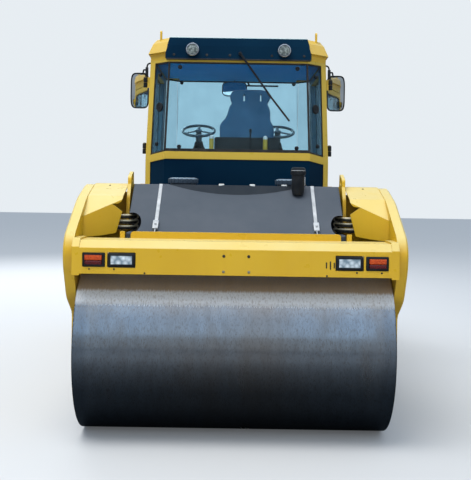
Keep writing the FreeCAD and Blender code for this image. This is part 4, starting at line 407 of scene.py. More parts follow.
# The hoses' pale tan tops are partly road dust and partly a painted highlight.
hose_rubber = two_tone(
    "hose_rubber", (18, 4, 0.35, 0.7), (0.012, 0.012, 0.012), (0.040, 0.037, 0.030), (50, 3, 0.20, 0.36),
    grain=(260, 2, 0.2, 0.0004), tops=(0.20, 0.75, 1, (0.60, 0.56, 0.40)),
)
dress(hose_rubber, "rear_hoses")
black_plastic = two_tone(
    "black_plastic", (9, 4, 0.35, 0.7), (0.008, 0.010, 0.013), (0.020, 0.023, 0.027), (40, 3, 0.30, 0.46),
    grain=(600, 1, 0.3, 0.0004), specular=0.22,
)
dress(black_plastic, "hood_grilles", "control_consoles", "mirrors", "wipers", "steering_wheels")
dress(black_plastic, "operator_seat", "rear_lamps", "front_lamps")
strap_steel = two_tone(
    "bright_strap_steel", (14, 4, 0.4, 0.7), (0.72, 0.74, 0.76), (0.50, 0.52, 0.54), (40, 2, 0.28, 0.45),
    metallic=0.6,
)
dress(strap_steel, "tank_straps")
dress(rod_chrome, "roof_lamps")


# Lamps in the end beams: at each side a tail cluster, orange over dark red in a black housing, and
# a square work lamp with a ribbed clear lens. Moulded housings with a raised rim, pushed into
# openings in the beam's face.
def picked(pieces):
    """Selects pieces alone and gives the first, made the active one."""
    clear_selection()
    for piece in pieces:
        piece.select_set(True)
    bpy.context.view_layer.objects.active = pieces[0]
    return pieces[0]


def joined(pieces):
    """Joins pieces into the first."""
    first = picked(pieces)
    if len(pieces) > 1:
        bpy.ops.object.join()
    return first


def finished(pieces, name, material, body="rear_frame", angle=35):
    """Joins, names, colours and smooths what makes up one piece, and lets it ride on its body."""
    piece = joined(pieces)
    piece.name = name
    piece.data.name = name
    piece.data.materials.clear()
    piece.data.materials.append(material)
    bpy.ops.object.shade_smooth_by_angle(angle=math.radians(angle))
    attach(piece, body)
    return piece


def rounded_box(low, high, radius, steps=2):
    """Box between two corners with all its edges rounded."""
    low, high = Vector(low), Vector(high)
    clear_selection()
    bpy.ops.mesh.primitive_cube_add(size=1, location=(low + high) / 2)
    box = bpy.context.object
    box.scale = high - low
    bpy.ops.object.transform_apply(location=True, rotation=True, scale=True)
    bevel = box.modifiers.new("edges", "BEVEL")
    bevel.width = radius
    bevel.segments = steps
    bpy.ops.object.modifier_apply(modifier=bevel.name)
    return box


def sink_face(box, way, rim, depth):
    """Insets the face that looks along way by rim and pushes it in by depth."""
    picked([box])
    way = Vector(way)
    face = max(box.data.polygons, key=lambda p: (p.normal.dot(way) > 0.99) * p.area)
    for polygon in box.data.polygons:
        polygon.select = polygon == face
    bpy.ops.object.mode_set(mode="EDIT")
    bpy.ops.mesh.inset(thickness=rim, depth=0)
    bpy.ops.mesh.extrude_region_move(TRANSFORM_OT_translate={"value": -depth * way})
    bpy.ops.object.mode_set(mode="OBJECT")
    return box


def lens_material(name, colour, deep, ribs):
    """Ribbed lens: clear coat over a coloured body, ribs in its normal."""
    material, tree, shader = new_material(name)
    place = object_coordinates(tree)
    cells = tree.nodes.new("ShaderNodeTexVoronoi")
    cells.inputs["Scale"].default_value = ribs
    tree.links.new(place, cells.inputs["Vector"])
    shade = ranged(tree, cells.outputs["Distance"], 0.1, 0.7)
    tree.links.new(mixed(tree, shade, colour, deep), shader.inputs["Base Color"])
    shader.inputs["Roughness"].default_value = 0.12
    shader.inputs["Coat Weight"].default_value = 0.8
    shader.inputs["Coat Roughness"].default_value = 0.04
    tree.links.new(bumped(tree, cells.outputs["Distance"], 0.5, 0.002), shader.inputs["Normal"])
    return material


orange_lens = lens_material("orange_lens", (0.74, 0.120, 0.012), (0.46, 0.045, 0.006), 150)
red_lens = lens_material("red_lens", (0.16, 0.006, 0.008), (0.065, 0.003, 0.004), 150)
clear_lens = lens_material("clear_lens", (0.80, 0.88, 0.93), (0.20, 0.28, 0.34), 30)

ENDS = (("rear", -1, "rear_frame"), ("front", 1, "front_frame"))
CLUSTER_X, CLUSTER_LENS_X, WORK_X, LAMP_Z = 0.930, 0.936, 0.748, 1.242
HOUSING_BACK, LENS_BACK, WORK_LENS_BACK, LAMP_FRONT = 2.385, 2.438, 2.436, 2.4545


def lamp_box(way, x, half, low, high, back, front, radius):
    """Rounded box in an end beam; low and high are heights from the lamps' middle."""
    ys = sorted((way * back, way * front))
    return rounded_box((x - half, ys[0], LAMP_Z + low), (x + half, ys[1], LAMP_Z + high), radius, 3)


for end, way, body in ENDS:
    housings, oranges, reds, clears = [], [], [], []
    for side in (-1, 1):
        housing = lamp_box(way, side * CLUSTER_X, 0.074, -0.047, 0.047, HOUSING_BACK, LAMP_FRONT, 0.009)
        housings.append(sink_face(housing, (0, way, 0), 0.006, 0.012))
        x = side * CLUSTER_LENS_X
        oranges.append(lamp_box(way, x, 0.060, -0.004, 0.037, LENS_BACK, LAMP_FRONT - 0.001, 0.007))
        reds.append(lamp_box(way, x, 0.060, -0.037, -0.005, LENS_BACK, LAMP_FRONT - 0.003, 0.006))
        x = side * WORK_X
        housing = lamp_box(way, x, 0.092, -0.050, 0.050, HOUSING_BACK, LAMP_FRONT, 0.018)
        housings.append(sink_face(housing, (0, way, 0), 0.004, 0.014))
        clears.append(lamp_box(way, x, 0.082, -0.0425, 0.0425, WORK_LENS_BACK, LAMP_FRONT - 0.002, 0.012))
    housing = finished(housings, end + "_lamp_housings", black_plastic, body)
    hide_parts(end + "_lamps")
    finished(oranges, end + "_orange_lenses", orange_lens, body)
    finished(reds, end + "_red_lenses", red_lens, body)
    finished(clears, end + "_clear_lenses", clear_lens, body)


# Fasteners of the end beams: zinc-plated flat screws, rubber plugs, and black domes painted in as
# the shade of two open bolt holes; at the tank's end, three upright black bars painted in as the
# shade inside drain slots beside the right work lamp.
def faces_out(piece):
    """Turns all faces of a closed piece outwards."""
    picked([piece])
    bpy.ops.object.mode_set(mode="EDIT")
    bpy.ops.mesh.select_all(action="SELECT")
    bpy.ops.mesh.normals_make_consistent(inside=False)
    bpy.ops.object.mode_set(mode="OBJECT")


def moved(piece, matrix):
    """Puts a piece at a place, which goes into its mesh."""
    picked([piece])
    piece.matrix_world = matrix
    bpy.ops.object.transform_apply(location=True, rotation=True, scale=True)
    return piece


def standing(place, direction):
    """Place and turn of a piece whose z axis goes along a direction."""
    return Matrix.Translation(place) @ Vector(direction).to_track_quat("Z", "Y").to_matrix().to_4x4()


def turned(rings, place, direction, count=24):
    """Turned form from rings (height, radius), standing at place along a direction."""
    clear_selection()
    height, radius = rings[0]
    bpy.ops.mesh.primitive_circle_add(vertices=count, radius=radius, fill_type="NGON", location=(0, 0, height))
    form = bpy.context.object
    bpy.ops.object.transform_apply(location=True, rotation=True, scale=True)
    bpy.ops.object.mode_set(mode="EDIT")
    bpy.ops.mesh.select_all(action="SELECT")
    for next_height, next_radius in rings[1:]:
        bpy.ops.mesh.extrude_region_move(TRANSFORM_OT_translate={"value": (0, 0, next_height - height)})
        if next_radius != radius:
            ratio = next_radius / radius
            bpy.ops.transform.resize(value=(ratio, ratio, 1), center_override=(0, 0, next_height))
        height, radius = next_height, next_radius
    bpy.ops.object.mode_set(mode="OBJECT")
    faces_out(form)
    return moved(form, standing(place, direction))


def round_plug(place, direction, radius):
    """Domed plug that stands a little proud of its hole."""
    rings = ((-0.004, radius), (0.0015, radius), (0.003, radius * 0.8), (0.0036, radius * 0.4))
    return turned(rings, place, direction, 20)


zinc = two_tone(
    "zinc_fastener", (80, 3, 0.35, 0.7), (0.46, 0.44, 0.38), (0.28, 0.25, 0.20), (120, 2, 0.30, 0.52),
    metallic=0.7,
)
BEAM_FACE = 2.447
# Two black domes painted in as the shade of open bolt holes.
BEAM_HOLE_SHADOWS = ((-0.077, 1.277), (0.086, 1.277))
BEAM_SCREWS = ((-0.079, 1.175), (0.088, 1.175))
BEAM_PLUGS = (
    (-0.959, 1.181), (-0.796, 1.181), (-0.595, 1.158), (0.600, 1.158), (0.796, 1.181), (0.959, 1.181),
)
for end, way, body in ENDS:
    dark, bright = [], []
    for group, places, radius in (
        (dark, BEAM_HOLE_SHADOWS, 0.010), (dark, BEAM_PLUGS, 0.006), (bright, BEAM_SCREWS, 0.009),
    ):
        for x, z in places:
            group.append(round_plug((x, way * BEAM_FACE, z), (0, way, 0), radius))
    finished(dark, end + "_beam_plugs_and_hole_shadows", black_rubber, body)
    finished(bright, end + "_beam_screws", zinc, body)

SLOT_Z = 1.227
slot_shadows = []
# Three black bars painted in as the shade inside the drain slots.
for x, half in ((0.596, 0.020), (0.622, 0.027), (0.647, 0.019)):
    low, high = (x - 0.0045, -2.4485, SLOT_Z - half), (x + 0.0045, -2.4445, SLOT_Z + half)
    slot_shadows.append(rounded_box(low, high, 0.0018))
finished(slot_shadows, "rear_drain_slot_shadows", black_rubber)


# The tank's fittings: two ribbed filler caps and the breather stack in grey moulded plastic, white
# clips along the brow, and two bright straps with a bolted tensioner at their lower ends.
def ribs_round(place, count, low, high, radius, steps=2):
    """Upright ribs, evenly spaced round an axis."""
    ribs = []
    for number in range(count):
        turn = Matrix.Rotation(math.radians(360 / count * number), 4, "Z")
        ribs.append(moved(rounded_box(low, high, radius, steps), Matrix.Translation(place) @ turn))
    return ribs


UP = (0, 0, 1)
TANK_TOP = 1.742
CAP_RINGS = (
    (0, 0.098), (0.012, 0.098), (0.014, 0.110), (0.046, 0.112), (0.054, 0.104), (0.058, 0.085), (0.0585, 0.03),
)
cap_plastic = painted(
    "cap_plastic", (0.040, 0.062, 0.090), (0.025, 0.040, 0.060), (0.24, 0.31, 0.38), (0.4, 0.2, 0.8, 0.1)
)
caps = []
for x in (-0.413, 0.413):
    place = Vector((x, -1.44, TANK_TOP - 0.004))
    caps.append(turned(CAP_RINGS, place, UP, 40))
    caps += ribs_round(place, 20, (0.104, -0.0055, 0.014), (0.1165, 0.0055, 0.050), 0.0025)
finished(caps, "filler_caps", cap_plastic)

STACK = Vector((0.455, -1.73, 0))
STACK_RINGS = (
    (1.68, 0.040), (1.704, 0.046), (1.716, 0.0480), (1.824, 0.0480), (1.827, 0.0550), (1.853, 0.0550),
    (1.855, 0.0515), (1.861, 0.0515), (1.863, 0.0545), (1.872, 0.0530), (1.880, 0.047), (1.8835, 0.036),
)
stack = [turned(STACK_RINGS, STACK, UP, 40)]
stack += ribs_round(STACK, 24, (0.053, -0.0028, 1.829), (0.0575, 0.0028, 1.851), 0.0015, 1)
finished(stack, "breather_stack", black_plastic)
ring = [turned(((1.8560, 0.0510), (1.8562, 0.0532), (1.8605, 0.0532), (1.8607, 0.0510)), STACK, UP, 40)]
bracket_low, bracket_high = STACK + Vector((0.0455, -0.018, 1.748)), STACK + Vector((0.0515, 0.018, 1.812))
ring.append(rounded_box(bracket_low, bracket_high, 0.002))
finished(ring, "stack_clamp", strap_steel)
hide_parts("tank_fittings")

white_plastic = painted(
    "white_clip", (0.68, 0.72, 0.74), (0.45, 0.48, 0.5), (0.85, 0.87, 0.88), (0.3, 0.2, 0.3, 0.1)
)
clips = []
for x, y in ((-0.112, -1.722), (0.117, -1.722), (0.356, -1.676)):
    place = Vector((x, y, TANK_TOP))
    clips.append(rounded_box(place - Vector((0.020, 0.006, 0.006)), place + Vector((0.020, 0.020, 0.010)), 0.004))
finished(clips, "brow_clips", white_plastic)


def hex_bolt(place, direction, size):
    """Hex head on its washer; size is the radius of the head."""
    washer_rings = ((-0.004, size * 1.35), (size * 0.22, size * 1.35), (size * 0.26, size * 1.25))
    head_rings = ((0, size), (size * 0.75, size), (size * 0.95, size * 0.82))
    washer = turned(washer_rings, place, direction, 20)
    return joined([washer, turned(head_rings, place + direction * size * 0.26, direction, 6)])


SLOPE_OUT = Vector((0, -0.604, 0.797))
ROD_RINGS = ((0, 0.005), (0.085, 0.005), (0.087, 0.0085), (0.097, 0.0085))
tensioners, rods = [], []
for x in (-0.566, 0.566):
    middle = Vector((x, -2.035, 1.450)) + SLOPE_OUT * 0.008
    block = rounded_box((-0.020, -0.045, -0.009), (0.020, 0.045, 0.009), 0.004)
    tensioners.append(moved(block, standing(middle, SLOPE_OUT)))
    tensioners.append(hex_bolt(middle + SLOPE_OUT * 0.009, SLOPE_OUT, 0.009))
    rods.append(turned(ROD_RINGS, (x, -2.096, 1.402), (0, 0, -1), 12))
finished(tensioners, "strap_tensioners", strap_steel)
finished(rods, "strap_rods", strap_steel)


# Corner covers: sheet covers held by flat-head screws in their upper bands.
for end, way, body in ENDS:
    screws = []
    for side in (-1, 1):
        screws.append(round_plug((side * 0.955, way * 1.598, 1.7275), (0, way * 0.28, 0.96), 0.008))
    finished(screws, end + "_cover_screws", black_rubber, body)


# Hoses beside the tank: their crimped ferrules and yellow-green marking sleeves where they leave
# the tank's side and run out under the corner covers.
FERRULE_RINGS = (
    (0, 0.0195), (0.012, 0.0195), (0.014, 0.018), (0.040, 0.018), (0.042, 0.0195), (0.052, 0.0195),
)
HOSE_SLEEVE_RINGS = ((0, 0.0178), (0.070, 0.0178), (0.072, 0.0168))
ferrules, sleeves = [], []
for side in (-1, 1):
    for z in (1.426, 1.466, 1.506):
        ferrules.append(turned(FERRULE_RINGS, (side * 0.736, -1.735, z), (0, -1, 0), 20))
        sleeves.append(turned(HOSE_SLEEVE_RINGS, (side * 0.885, -1.8545, z), (side, 0.07, 0), 20))
finished(ferrules, "hose_ferrules", zinc)
sleeve_paint = painted(
    "hose_sleeve", (0.62, 0.52, 0.26), (0.4, 0.3, 0.1), (0.86, 0.82, 0.6), (0.3, 0.2, 0.5, 0.1)
)
finished(sleeves, "hose_sleeves", sleeve_paint)


# Cab trim: black rubber seals round every pane, upright joint seals between the main panes and the
# angled corner panes, glass fixing knobs, round dark discs on the corner panes, a handle and a
# latch on each door, and a blue cloth lining under the roof.
def ribbon(runs, width, thickness, facing):
    """Flat strips along runs (start, end), as wide as width, with their flat side facing a way."""
    strips = []
    for start, end in runs:
        start, end = Vector(start), Vector(end)
        half = Vector((width / 2, thickness / 2, (end - start).length / 2))
        strip = rounded_box(-half, half, min(width, thickness) * 0.3, 1)
        along = (end - start).normalized()
        across = Vector(facing).normalized().cross(along).normalized()
        turn = Matrix((across, along.cross(across), along)).transposed().to_4x4()
        strips.append(moved(strip, Matrix.Translation((start + end) / 2) @ turn))
    return strips


SILL_BOTTOM, SILL_TOP, EAVE, GLASS_TOP = 1.957, 2.020, 2.800, 2.775
REAR_FACE, FRONT_FACE, CAB_SIDE = 0.915, 0.440, 0.784


def lean(height):
    """How far the cab's faces lean in at a height."""
    return 0.030 * max(0.0, height - SILL_BOTTOM) / (EAVE - SILL_BOTTOM)


def cab_corner(way, x_place, height, inset):
    """Point on an end face of the cab: x_place 0 is the edge of the main pane, 1 the post's edge."""
    taper = lean(height) + inset
    face = (REAR_FACE if way < 0 else FRONT_FACE) - taper
    inner_x = CAB_SIDE - taper - 0.170 + inset * 0.4
    outer_x = CAB_SIDE - lean(height) - 0.045
    outer_face = face - 0.180 * (outer_x - inner_x) / 0.170
    x = inner_x + (outer_x - inner_x) * x_place
    return x, way * (face + (outer_face - face) * x_place)


SEAL_INSET, CORNER_DROP = 0.009, 0.028
seals = []
for way in (-1, 1):
    for side in (-1, 1):
        runs = []
        for x_place in (0.0, 0.96):
            points = []
            for height in (SILL_TOP + 0.004 - CORNER_DROP * x_place, GLASS_TOP - 0.004):
                x, y = cab_corner(way, x_place, height, SEAL_INSET)
                points.append((side * x, y, height))
            runs.append(points)
        if way < 0:
            seals += ribbon(runs[:1], 0.018, 0.012, (side * 0.4, way, 0))
        seals += ribbon(runs[1:], 0.016, 0.010, (side, way, 0))
        for height, drop in ((SILL_TOP + 0.007, CORNER_DROP), (GLASS_TOP - 0.008, 0.0)):
            x, y = cab_corner(way, 0, height, SEAL_INSET)
            far_x, far_y = cab_corner(way, 0.97, height, SEAL_INSET)
            run = ((side * x, y, height), (side * far_x, far_y, height - drop))
            seals += ribbon([run], 0.014, 0.008, (side, way, 0))
    for height, width in ((SILL_TOP + 0.0125, 0.026), (GLASS_TOP - 0.008, 0.014)):
        x, y = cab_corner(way, 0, height, SEAL_INSET)
        seals += ribbon([((-x, y, height), (x, y, height))], width, 0.008, (0, way, 0))
finished(seals, "window_seals", black_rubber)

DOORS = (("door_left", -1), ("door_right", 1))
LATCH_Z = 2.342
for body, side in DOORS:
    door_seals = []
    for low, high in ((1.435, 1.935), (SILL_TOP + 0.004, 2.700)):
        corners = []
        for y, z in ((-0.588, low), (0.123, low), (0.123, high), (-0.588, high)):
            corners.append((side * (CAB_SIDE - lean(z) - 0.007), y, z))
        runs = list(zip(corners, corners[1:] + corners[:1]))
        door_seals += ribbon(runs, 0.016, 0.008, (side, 0, 0))
    finished(door_seals, body.replace("door_", "door_seals_"), black_rubber, body)
    low, high = sorted((side * 0.7795, side * 0.7875))
    handle = [rounded_box((low, 0.020, 1.975), (high, 0.110, 2.000), 0.003)]
    low, high = sorted((side * 0.786, side * 0.800))
    handle.append(rounded_box((low, 0.028, 1.981), (high, 0.098, 1.994), 0.004))
    x = side * (CAB_SIDE - lean(LATCH_Z) + 0.001)
    handle.append(rounded_box((x - 0.008, -0.640, LATCH_Z - 0.022), (x + 0.008, -0.612, LATCH_Z + 0.022), 0.004))
    finished(handle, body.replace("door_", "door_handle_"), black_plastic, body)

KNOB_RINGS = ((-0.012, 0.018), (0.004, 0.018), (0.010, 0.015), (0.012, 0.007))
CORNER_KNOB_RINGS = ((-0.012, 0.017), (0.004, 0.017), (0.009, 0.013), (0.011, 0.006))
DISC_RINGS = (
    (-0.010, 0.040), (0.002, 0.040), (0.006, 0.037), (0.006, 0.022), (0.003, 0.020), (0.003, 0.008), (0.006, 0.006),
)
DISC_Z, KNOB_INSET = 2.397, 0.010
REAR_KNOBS = ((-0.489, 2.731), (0.499, 2.731), (-0.487, 2.060), (0.500, 2.060))
FRONT_KNOBS = ((-0.556, 2.752), (0.556, 2.752), (-0.556, 2.062), (0.556, 2.062))
knobs, discs = [], []
for way, face, places in ((-1, REAR_FACE, REAR_KNOBS), (1, FRONT_FACE, FRONT_KNOBS)):
    for x, z in places:
        knobs.append(turned(KNOB_RINGS, (x, way * (face - lean(z) - KNOB_INSET), z), (0, way, 0), 24))
for side in (-1, 1):
    corner_out = (side * 0.72, -0.69, 0)
    for z in (2.673, 2.083):
        x, y = cab_corner(-1, 0.62, z, KNOB_INSET)
        knobs.append(turned(CORNER_KNOB_RINGS, (side * x, y, z), corner_out, 24))
    x, y = cab_corner(-1, 0.55, DISC_Z, KNOB_INSET)
    discs.append(turned(DISC_RINGS, (side * x, y, DISC_Z), corner_out, 32))
finished(knobs, "glass_knobs", black_plastic)
finished(discs, "pane_discs", black_plastic)

lining = two_tone(
    "roof_lining", (5, 3, 0.3, 0.7), (0.020, 0.330, 0.900), (0.040, 0.380, 0.960), 0.9,
    grain=(240, 2, 0.4, 0.001), specular=0.05,
)
panel = [rounded_box((-0.575, -0.835, 2.768), (0.575, 0.360, 2.798), 0.010, 3)]
panel.append(rounded_box((-0.700, -0.690, 2.770), (0.700, 0.215, 2.797), 0.010, 3))
finished(panel, "roof_lining_panel", lining)


# The visor: five flat screws along its foot, a thin pale drip edge along its top, and black rubber
# strips in the joints between it and the roof's sides.
VISOR_FACES = ((-1, 0.905), (1, 0.430))
screws = []
for way, face in VISOR_FACES:
    for x in (-0.541, -0.265, -0.071, 0.281, 0.551):
        screws.append(round_plug((x, way * (face - 0.0040), 2.832), (0, way, 0.06), 0.011))
finished(screws, "visor_screws", black_rubber)
edge_paint = painted(
    "pale_edge", (0.42, 0.62, 0.66), (0.25, 0.4, 0.45), (0.72, 0.84, 0.86), (0.3, 0.2, 0.6, 0.1)
)
edges = []
for way, face in VISOR_FACES:
    back, out = sorted((way * (face - 0.048), way * (face - 0.034)))
    edges.append(rounded_box((-0.574, back, 2.974), (0.574, out, 2.984), 0.002))
finished(edges, "visor_edges", edge_paint)
gap_strips = []
for side in (-1, 1):
    for way, face in VISOR_FACES:
        start = (side * 0.6095, way * (face - 0.028), 2.801)
        middle = (side * 0.6095, way * (face - 0.032), 2.857)
        end = (side * 0.5785, way * (face - 0.062), 2.983)
        gap_strips += ribbon([(start, middle), (middle, end)], 0.012, 0.012, (0, way, 0))
finished(gap_strips, "visor_gap_strips", black_rubber)


# Work lamps on the visor: round, a bright drawn bezel round a faceted smoky lens, on a black pot.
bright_bezel = two_tone(
    "bright_bezel", (40, 3, 0.4, 0.7), (0.72, 0.74, 0.78), (0.45, 0.47, 0.52), (70, 2, 0.10, 0.25), metallic=0.9
)
POT_RINGS = ((-0.02, 0.030), (0.006, 0.040), (0.022, 0.052), (0.044, 0.0560), (0.048, 0.0545))
BEZEL_RINGS = (
    (0.044, 0.0530), (0.052, 0.0545), (0.0590, 0.0535), (0.0612, 0.0500), (0.0612, 0.0465), (0.056, 0.0440),
    (0.050, 0.0430),
)
ROOF_LENS_RINGS = ((0.046, 0.043), (0.0525, 0.0435), (0.0570, 0.036), (0.0590, 0.022), (0.0600, 0.008))
pots, bezels, lenses = [], [], []
for way, face in VISOR_FACES:
    for side in (-1, 1):
        place = (side * 0.384, way * (face - 0.018), 2.872)
        pots.append(turned(POT_RINGS, place, (0, way, 0), 40))
        bezels.append(turned(BEZEL_RINGS, place, (0, way, 0), 48))
        lenses.append(turned(ROOF_LENS_RINGS, place, (0, way, 0), 40))
pots = finished(pots, "roof_lamp_pots", black_plastic)
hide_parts("roof_lamps")
finished(bezels, "roof_lamp_bezels", bright_bezel)
smoked_lens = lens_material("smoked_lens", (0.30, 0.35, 0.34), (0.08, 0.10, 0.10), 55)
finished(lenses, "roof_lamp_lenses", smoked_lens)


# Mirrors: deep moulded black shells on bent tube arms clamped to the front roof corners, each with
# a bulged mirror face that looks back along the cab; the inside mirror hangs from the roof.
mirror_face = two_tone(
    "mirror_face", (6, 3, 0.4, 0.7), (0.80, 0.83, 0.86), (0.66, 0.70, 0.74), (30, 2, 0.02, 0.07), metallic=1.0
)


def bent_tube(points, radius):
    """Round tube along points, as a mesh."""
    curve = bpy.data.curves.new("tube", "CURVE")
    curve.dimensions = "3D"
    curve.bevel_depth = radius
    curve.bevel_resolution = 4
    curve.use_fill_caps = True
    spline = curve.splines.new("NURBS")
    spline.points.add(len(points) - 1)
    for spline_point, point in zip(spline.points, points):
        spline_point.co = (*point, 1)
    spline.order_u = 3
    spline.use_endpoint_u = True
    tube = bpy.data.objects.new("tube", curve)
    bpy.context.collection.objects.link(tube)
    picked([tube])
    bpy.ops.object.convert(target="MESH")
    return bpy.context.object


def squarish(rings, half_x, half_z, place, yaw=0.0, power=5.0):
    """Turned form drawn out to a rounded rectangle, looking back along the machine."""
    form = turned(rings, (0, 0, 0), UP, 64)
    for vertex in form.data.vertices:
        x, z = vertex.co.x, vertex.co.y
        reach = math.hypot(x, z)
        if reach > 0:
            across, up = abs(x) / reach, abs(z) / reach
            grow = (across ** power + up ** power) ** (-1 / power)
            vertex.co.x = x * grow * half_x
            vertex.co.y = z * grow * half_z
    turn = Matrix.Rotation(yaw, 4, "Z") @ Matrix.Rotation(math.radians(90), 4, "X")
    return moved(form, Matrix.Translation(place) @ turn)


SHELL_RINGS = (
    (-0.045, 0.60), (-0.043, 0.78), (-0.036, 0.92), (-0.024, 0.985), (-0.008, 1.0), (-0.001, 1.0),
    (0.0, 0.985), (0.0, 0.950), (-0.004, 0.940), (-0.037, 0.890),
)
FACE_RINGS = (
    (-0.002, 1.0), (0.0, 1.0), (0.0003, 0.97), (0.0007, 0.86), (0.0011, 0.72), (0.0014, 0.55), (0.0016, 0.36),
    (0.0017, 0.18), (0.00175, 0.05),
)
MIRROR_X, MIRROR_Y, MIRROR_Z, MIRROR_HALF_X, MIRROR_HALF_Z = 0.965, 0.330, 2.661, 0.091, 0.176
ARM_Y, ARM_RADIUS, CLAMP_X, YAW = MIRROR_Y + 0.023, 0.0078, 0.900, math.radians(11.5)
ARM_UPPER = ((0.768, 2.916), (0.835, 2.932), (0.872, 2.936), (0.898, 2.920), (0.900, 2.888))
ARM_LOWER = ((0.900, 2.864), (0.922, 2.870), (0.936, 2.866), (0.938, 2.822))
shells, faces = [], []
for side in (-1, 1):
    x = side * MIRROR_X
    shells.append(squarish(SHELL_RINGS, MIRROR_HALF_X, MIRROR_HALF_Z, (x, MIRROR_Y, MIRROR_Z)))
    faces.append(squarish(
        FACE_RINGS, MIRROR_HALF_X - 0.010, MIRROR_HALF_Z - 0.012, (x, MIRROR_Y + 0.0185, MIRROR_Z), -side * YAW
    ))
    x = side * CLAMP_X
    shells.append(rounded_box((x - 0.014, ARM_Y - 0.014, 2.790), (x + 0.014, ARM_Y + 0.014, 2.895), 0.005, 3))
    for arm in (ARM_UPPER, ARM_LOWER):
        shells.append(bent_tube([(side * x, ARM_Y, z) for x, z in arm], ARM_RADIUS))
    foot = (side * 0.776, ARM_Y, 2.9175)
    shells.append(turned(((0, 0.026), (0.006, 0.026), (0.010, 0.018)), foot, (side, 0, 0.2), 20))
INNER_X, INNER_Z = -0.032, 2.6795
inner_rings = [(0.62 * height, ratio) for height, ratio in SHELL_RINGS]
shells.append(squarish(inner_rings, 0.122, 0.0735, (INNER_X, 0.251, INNER_Z), power=4))
faces.append(squarish(FACE_RINGS, 0.115, 0.0665, (INNER_X, 0.2555, INNER_Z), power=4))
shells.append(bent_tube(((INNER_X, 0.272, 2.730), (INNER_X, 0.274, 2.760), (INNER_X, 0.280, 2.778)), 0.006))
shells = finished(shells, "mirror_shells", black_plastic)
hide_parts("mirrors")
finished(faces, "mirror_faces", mirror_face)


# Wipers: a pressed arm from a pivot cap on the visor to a jointed blade with a rubber lip.
arms, blades = [], []
for way, face, pivot, elbow, tip in (
    (-1, 0.927, (0.015, 2.845), (0.280, 2.480), (0.435, 2.285)),
    (1, 0.452, (0.060, 2.845), (0.117, 2.738), (0.406, 2.738)),
):
    y = way * face
    pivot, elbow, tip = [Vector((x, y, z)) for x, z in (pivot, elbow, tip)]
    slant = (elbow - pivot).normalized()
    arms.append(turned(((-0.045, 0.013), (-0.004, 0.015), (0.004, 0.014), (0.007, 0.008)), pivot, (0, way, 0), 24))
    arms += ribbon([(pivot + slant * 0.01, pivot + slant * 0.075)], 0.020, 0.010, (0, way, 0))
    arms += ribbon([(pivot + slant * 0.06, elbow)], 0.017, 0.007, (0, way, 0))
    along = (tip - elbow).normalized()
    blades += ribbon([(elbow - along * 0.05, tip)], 0.016, 0.010, (0, way, 0))
    inward = Vector((0, -way * 0.0075, 0))
    blades += ribbon([(elbow - along * 0.05 + inward, tip + inward)], 0.003, 0.008, (0, way, 0))
arms = finished(arms, "wiper_arms", black_plastic)
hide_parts("wipers")
finished(blades, "wiper_blades", black_rubber)


# Door hinges: black sleeves round the two knuckles of each hinge, the lower one fast to the cab
# post and the upper one turning with the door.
HINGE_X, HINGE_Y = 0.800, -0.672
SLEEVE_RINGS = ((0, 0.0150), (0.002, 0.0178), (0.041, 0.0178), (0.0435, 0.0150))
PIN_RINGS = ((0, 0.0125), (0.004, 0.0115), (0.006, 0.007))
for body, side in DOORS:
    fixed, turning = [], []
    for height in (1.560, 2.048, 2.620):
        for group, rings, rise, count in (
            (fixed, SLEEVE_RINGS, -0.044, 24), (turning, SLEEVE_RINGS, 0.0015, 24), (turning, PIN_RINGS, 0.046, 20),
        ):
            group.append(turned(rings, (side * HINGE_X, HINGE_Y, height + rise), UP, count))
    finished(fixed, body.replace("door", "fixed_sleeves"), black_plastic)
    finished(turning, body.replace("door", "door_sleeves"), black_plastic, body)


# Sill: a black ledge strip behind the glass, a black rubber strip under each visor painted in as
# the shadow line there, and white domed caps on the two short posts.
sill_strip_and_visor_shadow = [rounded_box((-0.585, -0.893, 2.004), (0.585, -0.862, 2.043), 0.006)]
# Under each visor: a black rubber strip painted in as the shadow line under the visor.
for way, face in VISOR_FACES:
    ys = sorted((way * (face + 0.0055), way * (face - 0.010)))
    sill_strip_and_visor_shadow.append(rounded_box((-0.606, ys[0], 2.789), (0.606, ys[1], 2.8015), 0.003))
finished(sill_strip_and_visor_shadow, "sill_strip_and_visor_shadow_strips", black_rubber)
POST_CAP_RINGS = ((0, 0.0197), (0.012, 0.0197), (0.022, 0.0165), (0.029, 0.010), (0.0315, 0.004))
caps = [turned(POST_CAP_RINGS, (x, -0.866, 2.132), UP, 24) for x in (-0.216, 0.237)]
finished(caps, "post_caps", white_plastic)


# Inner trims: moulded liners in dusty blue-grey over the inside of the posts and of the door rails.
trim_grey = painted(
    "trim_grey", (0.105, 0.260, 0.370), (0.080, 0.190, 0.280), (0.16, 0.30, 0.38), (0.6, 0.5, 0.4, 0.1)
)
TRIM_DEPTH, EDGE_DEPTH, TRIM_THICKNESS = 0.0535, 0.034, 0.005


def wall_trim(side, start, end, width, depth=TRIM_DEPTH, facing=None):
    """Liner strip between two points (y, z) on the inside of the cab's side wall."""
    points = [(side * (CAB_SIDE - lean(z) - depth), y, z) for y, z in (start, end)]
    return ribbon([points], width, TRIM_THICKNESS, facing or (-side, 0, 0))


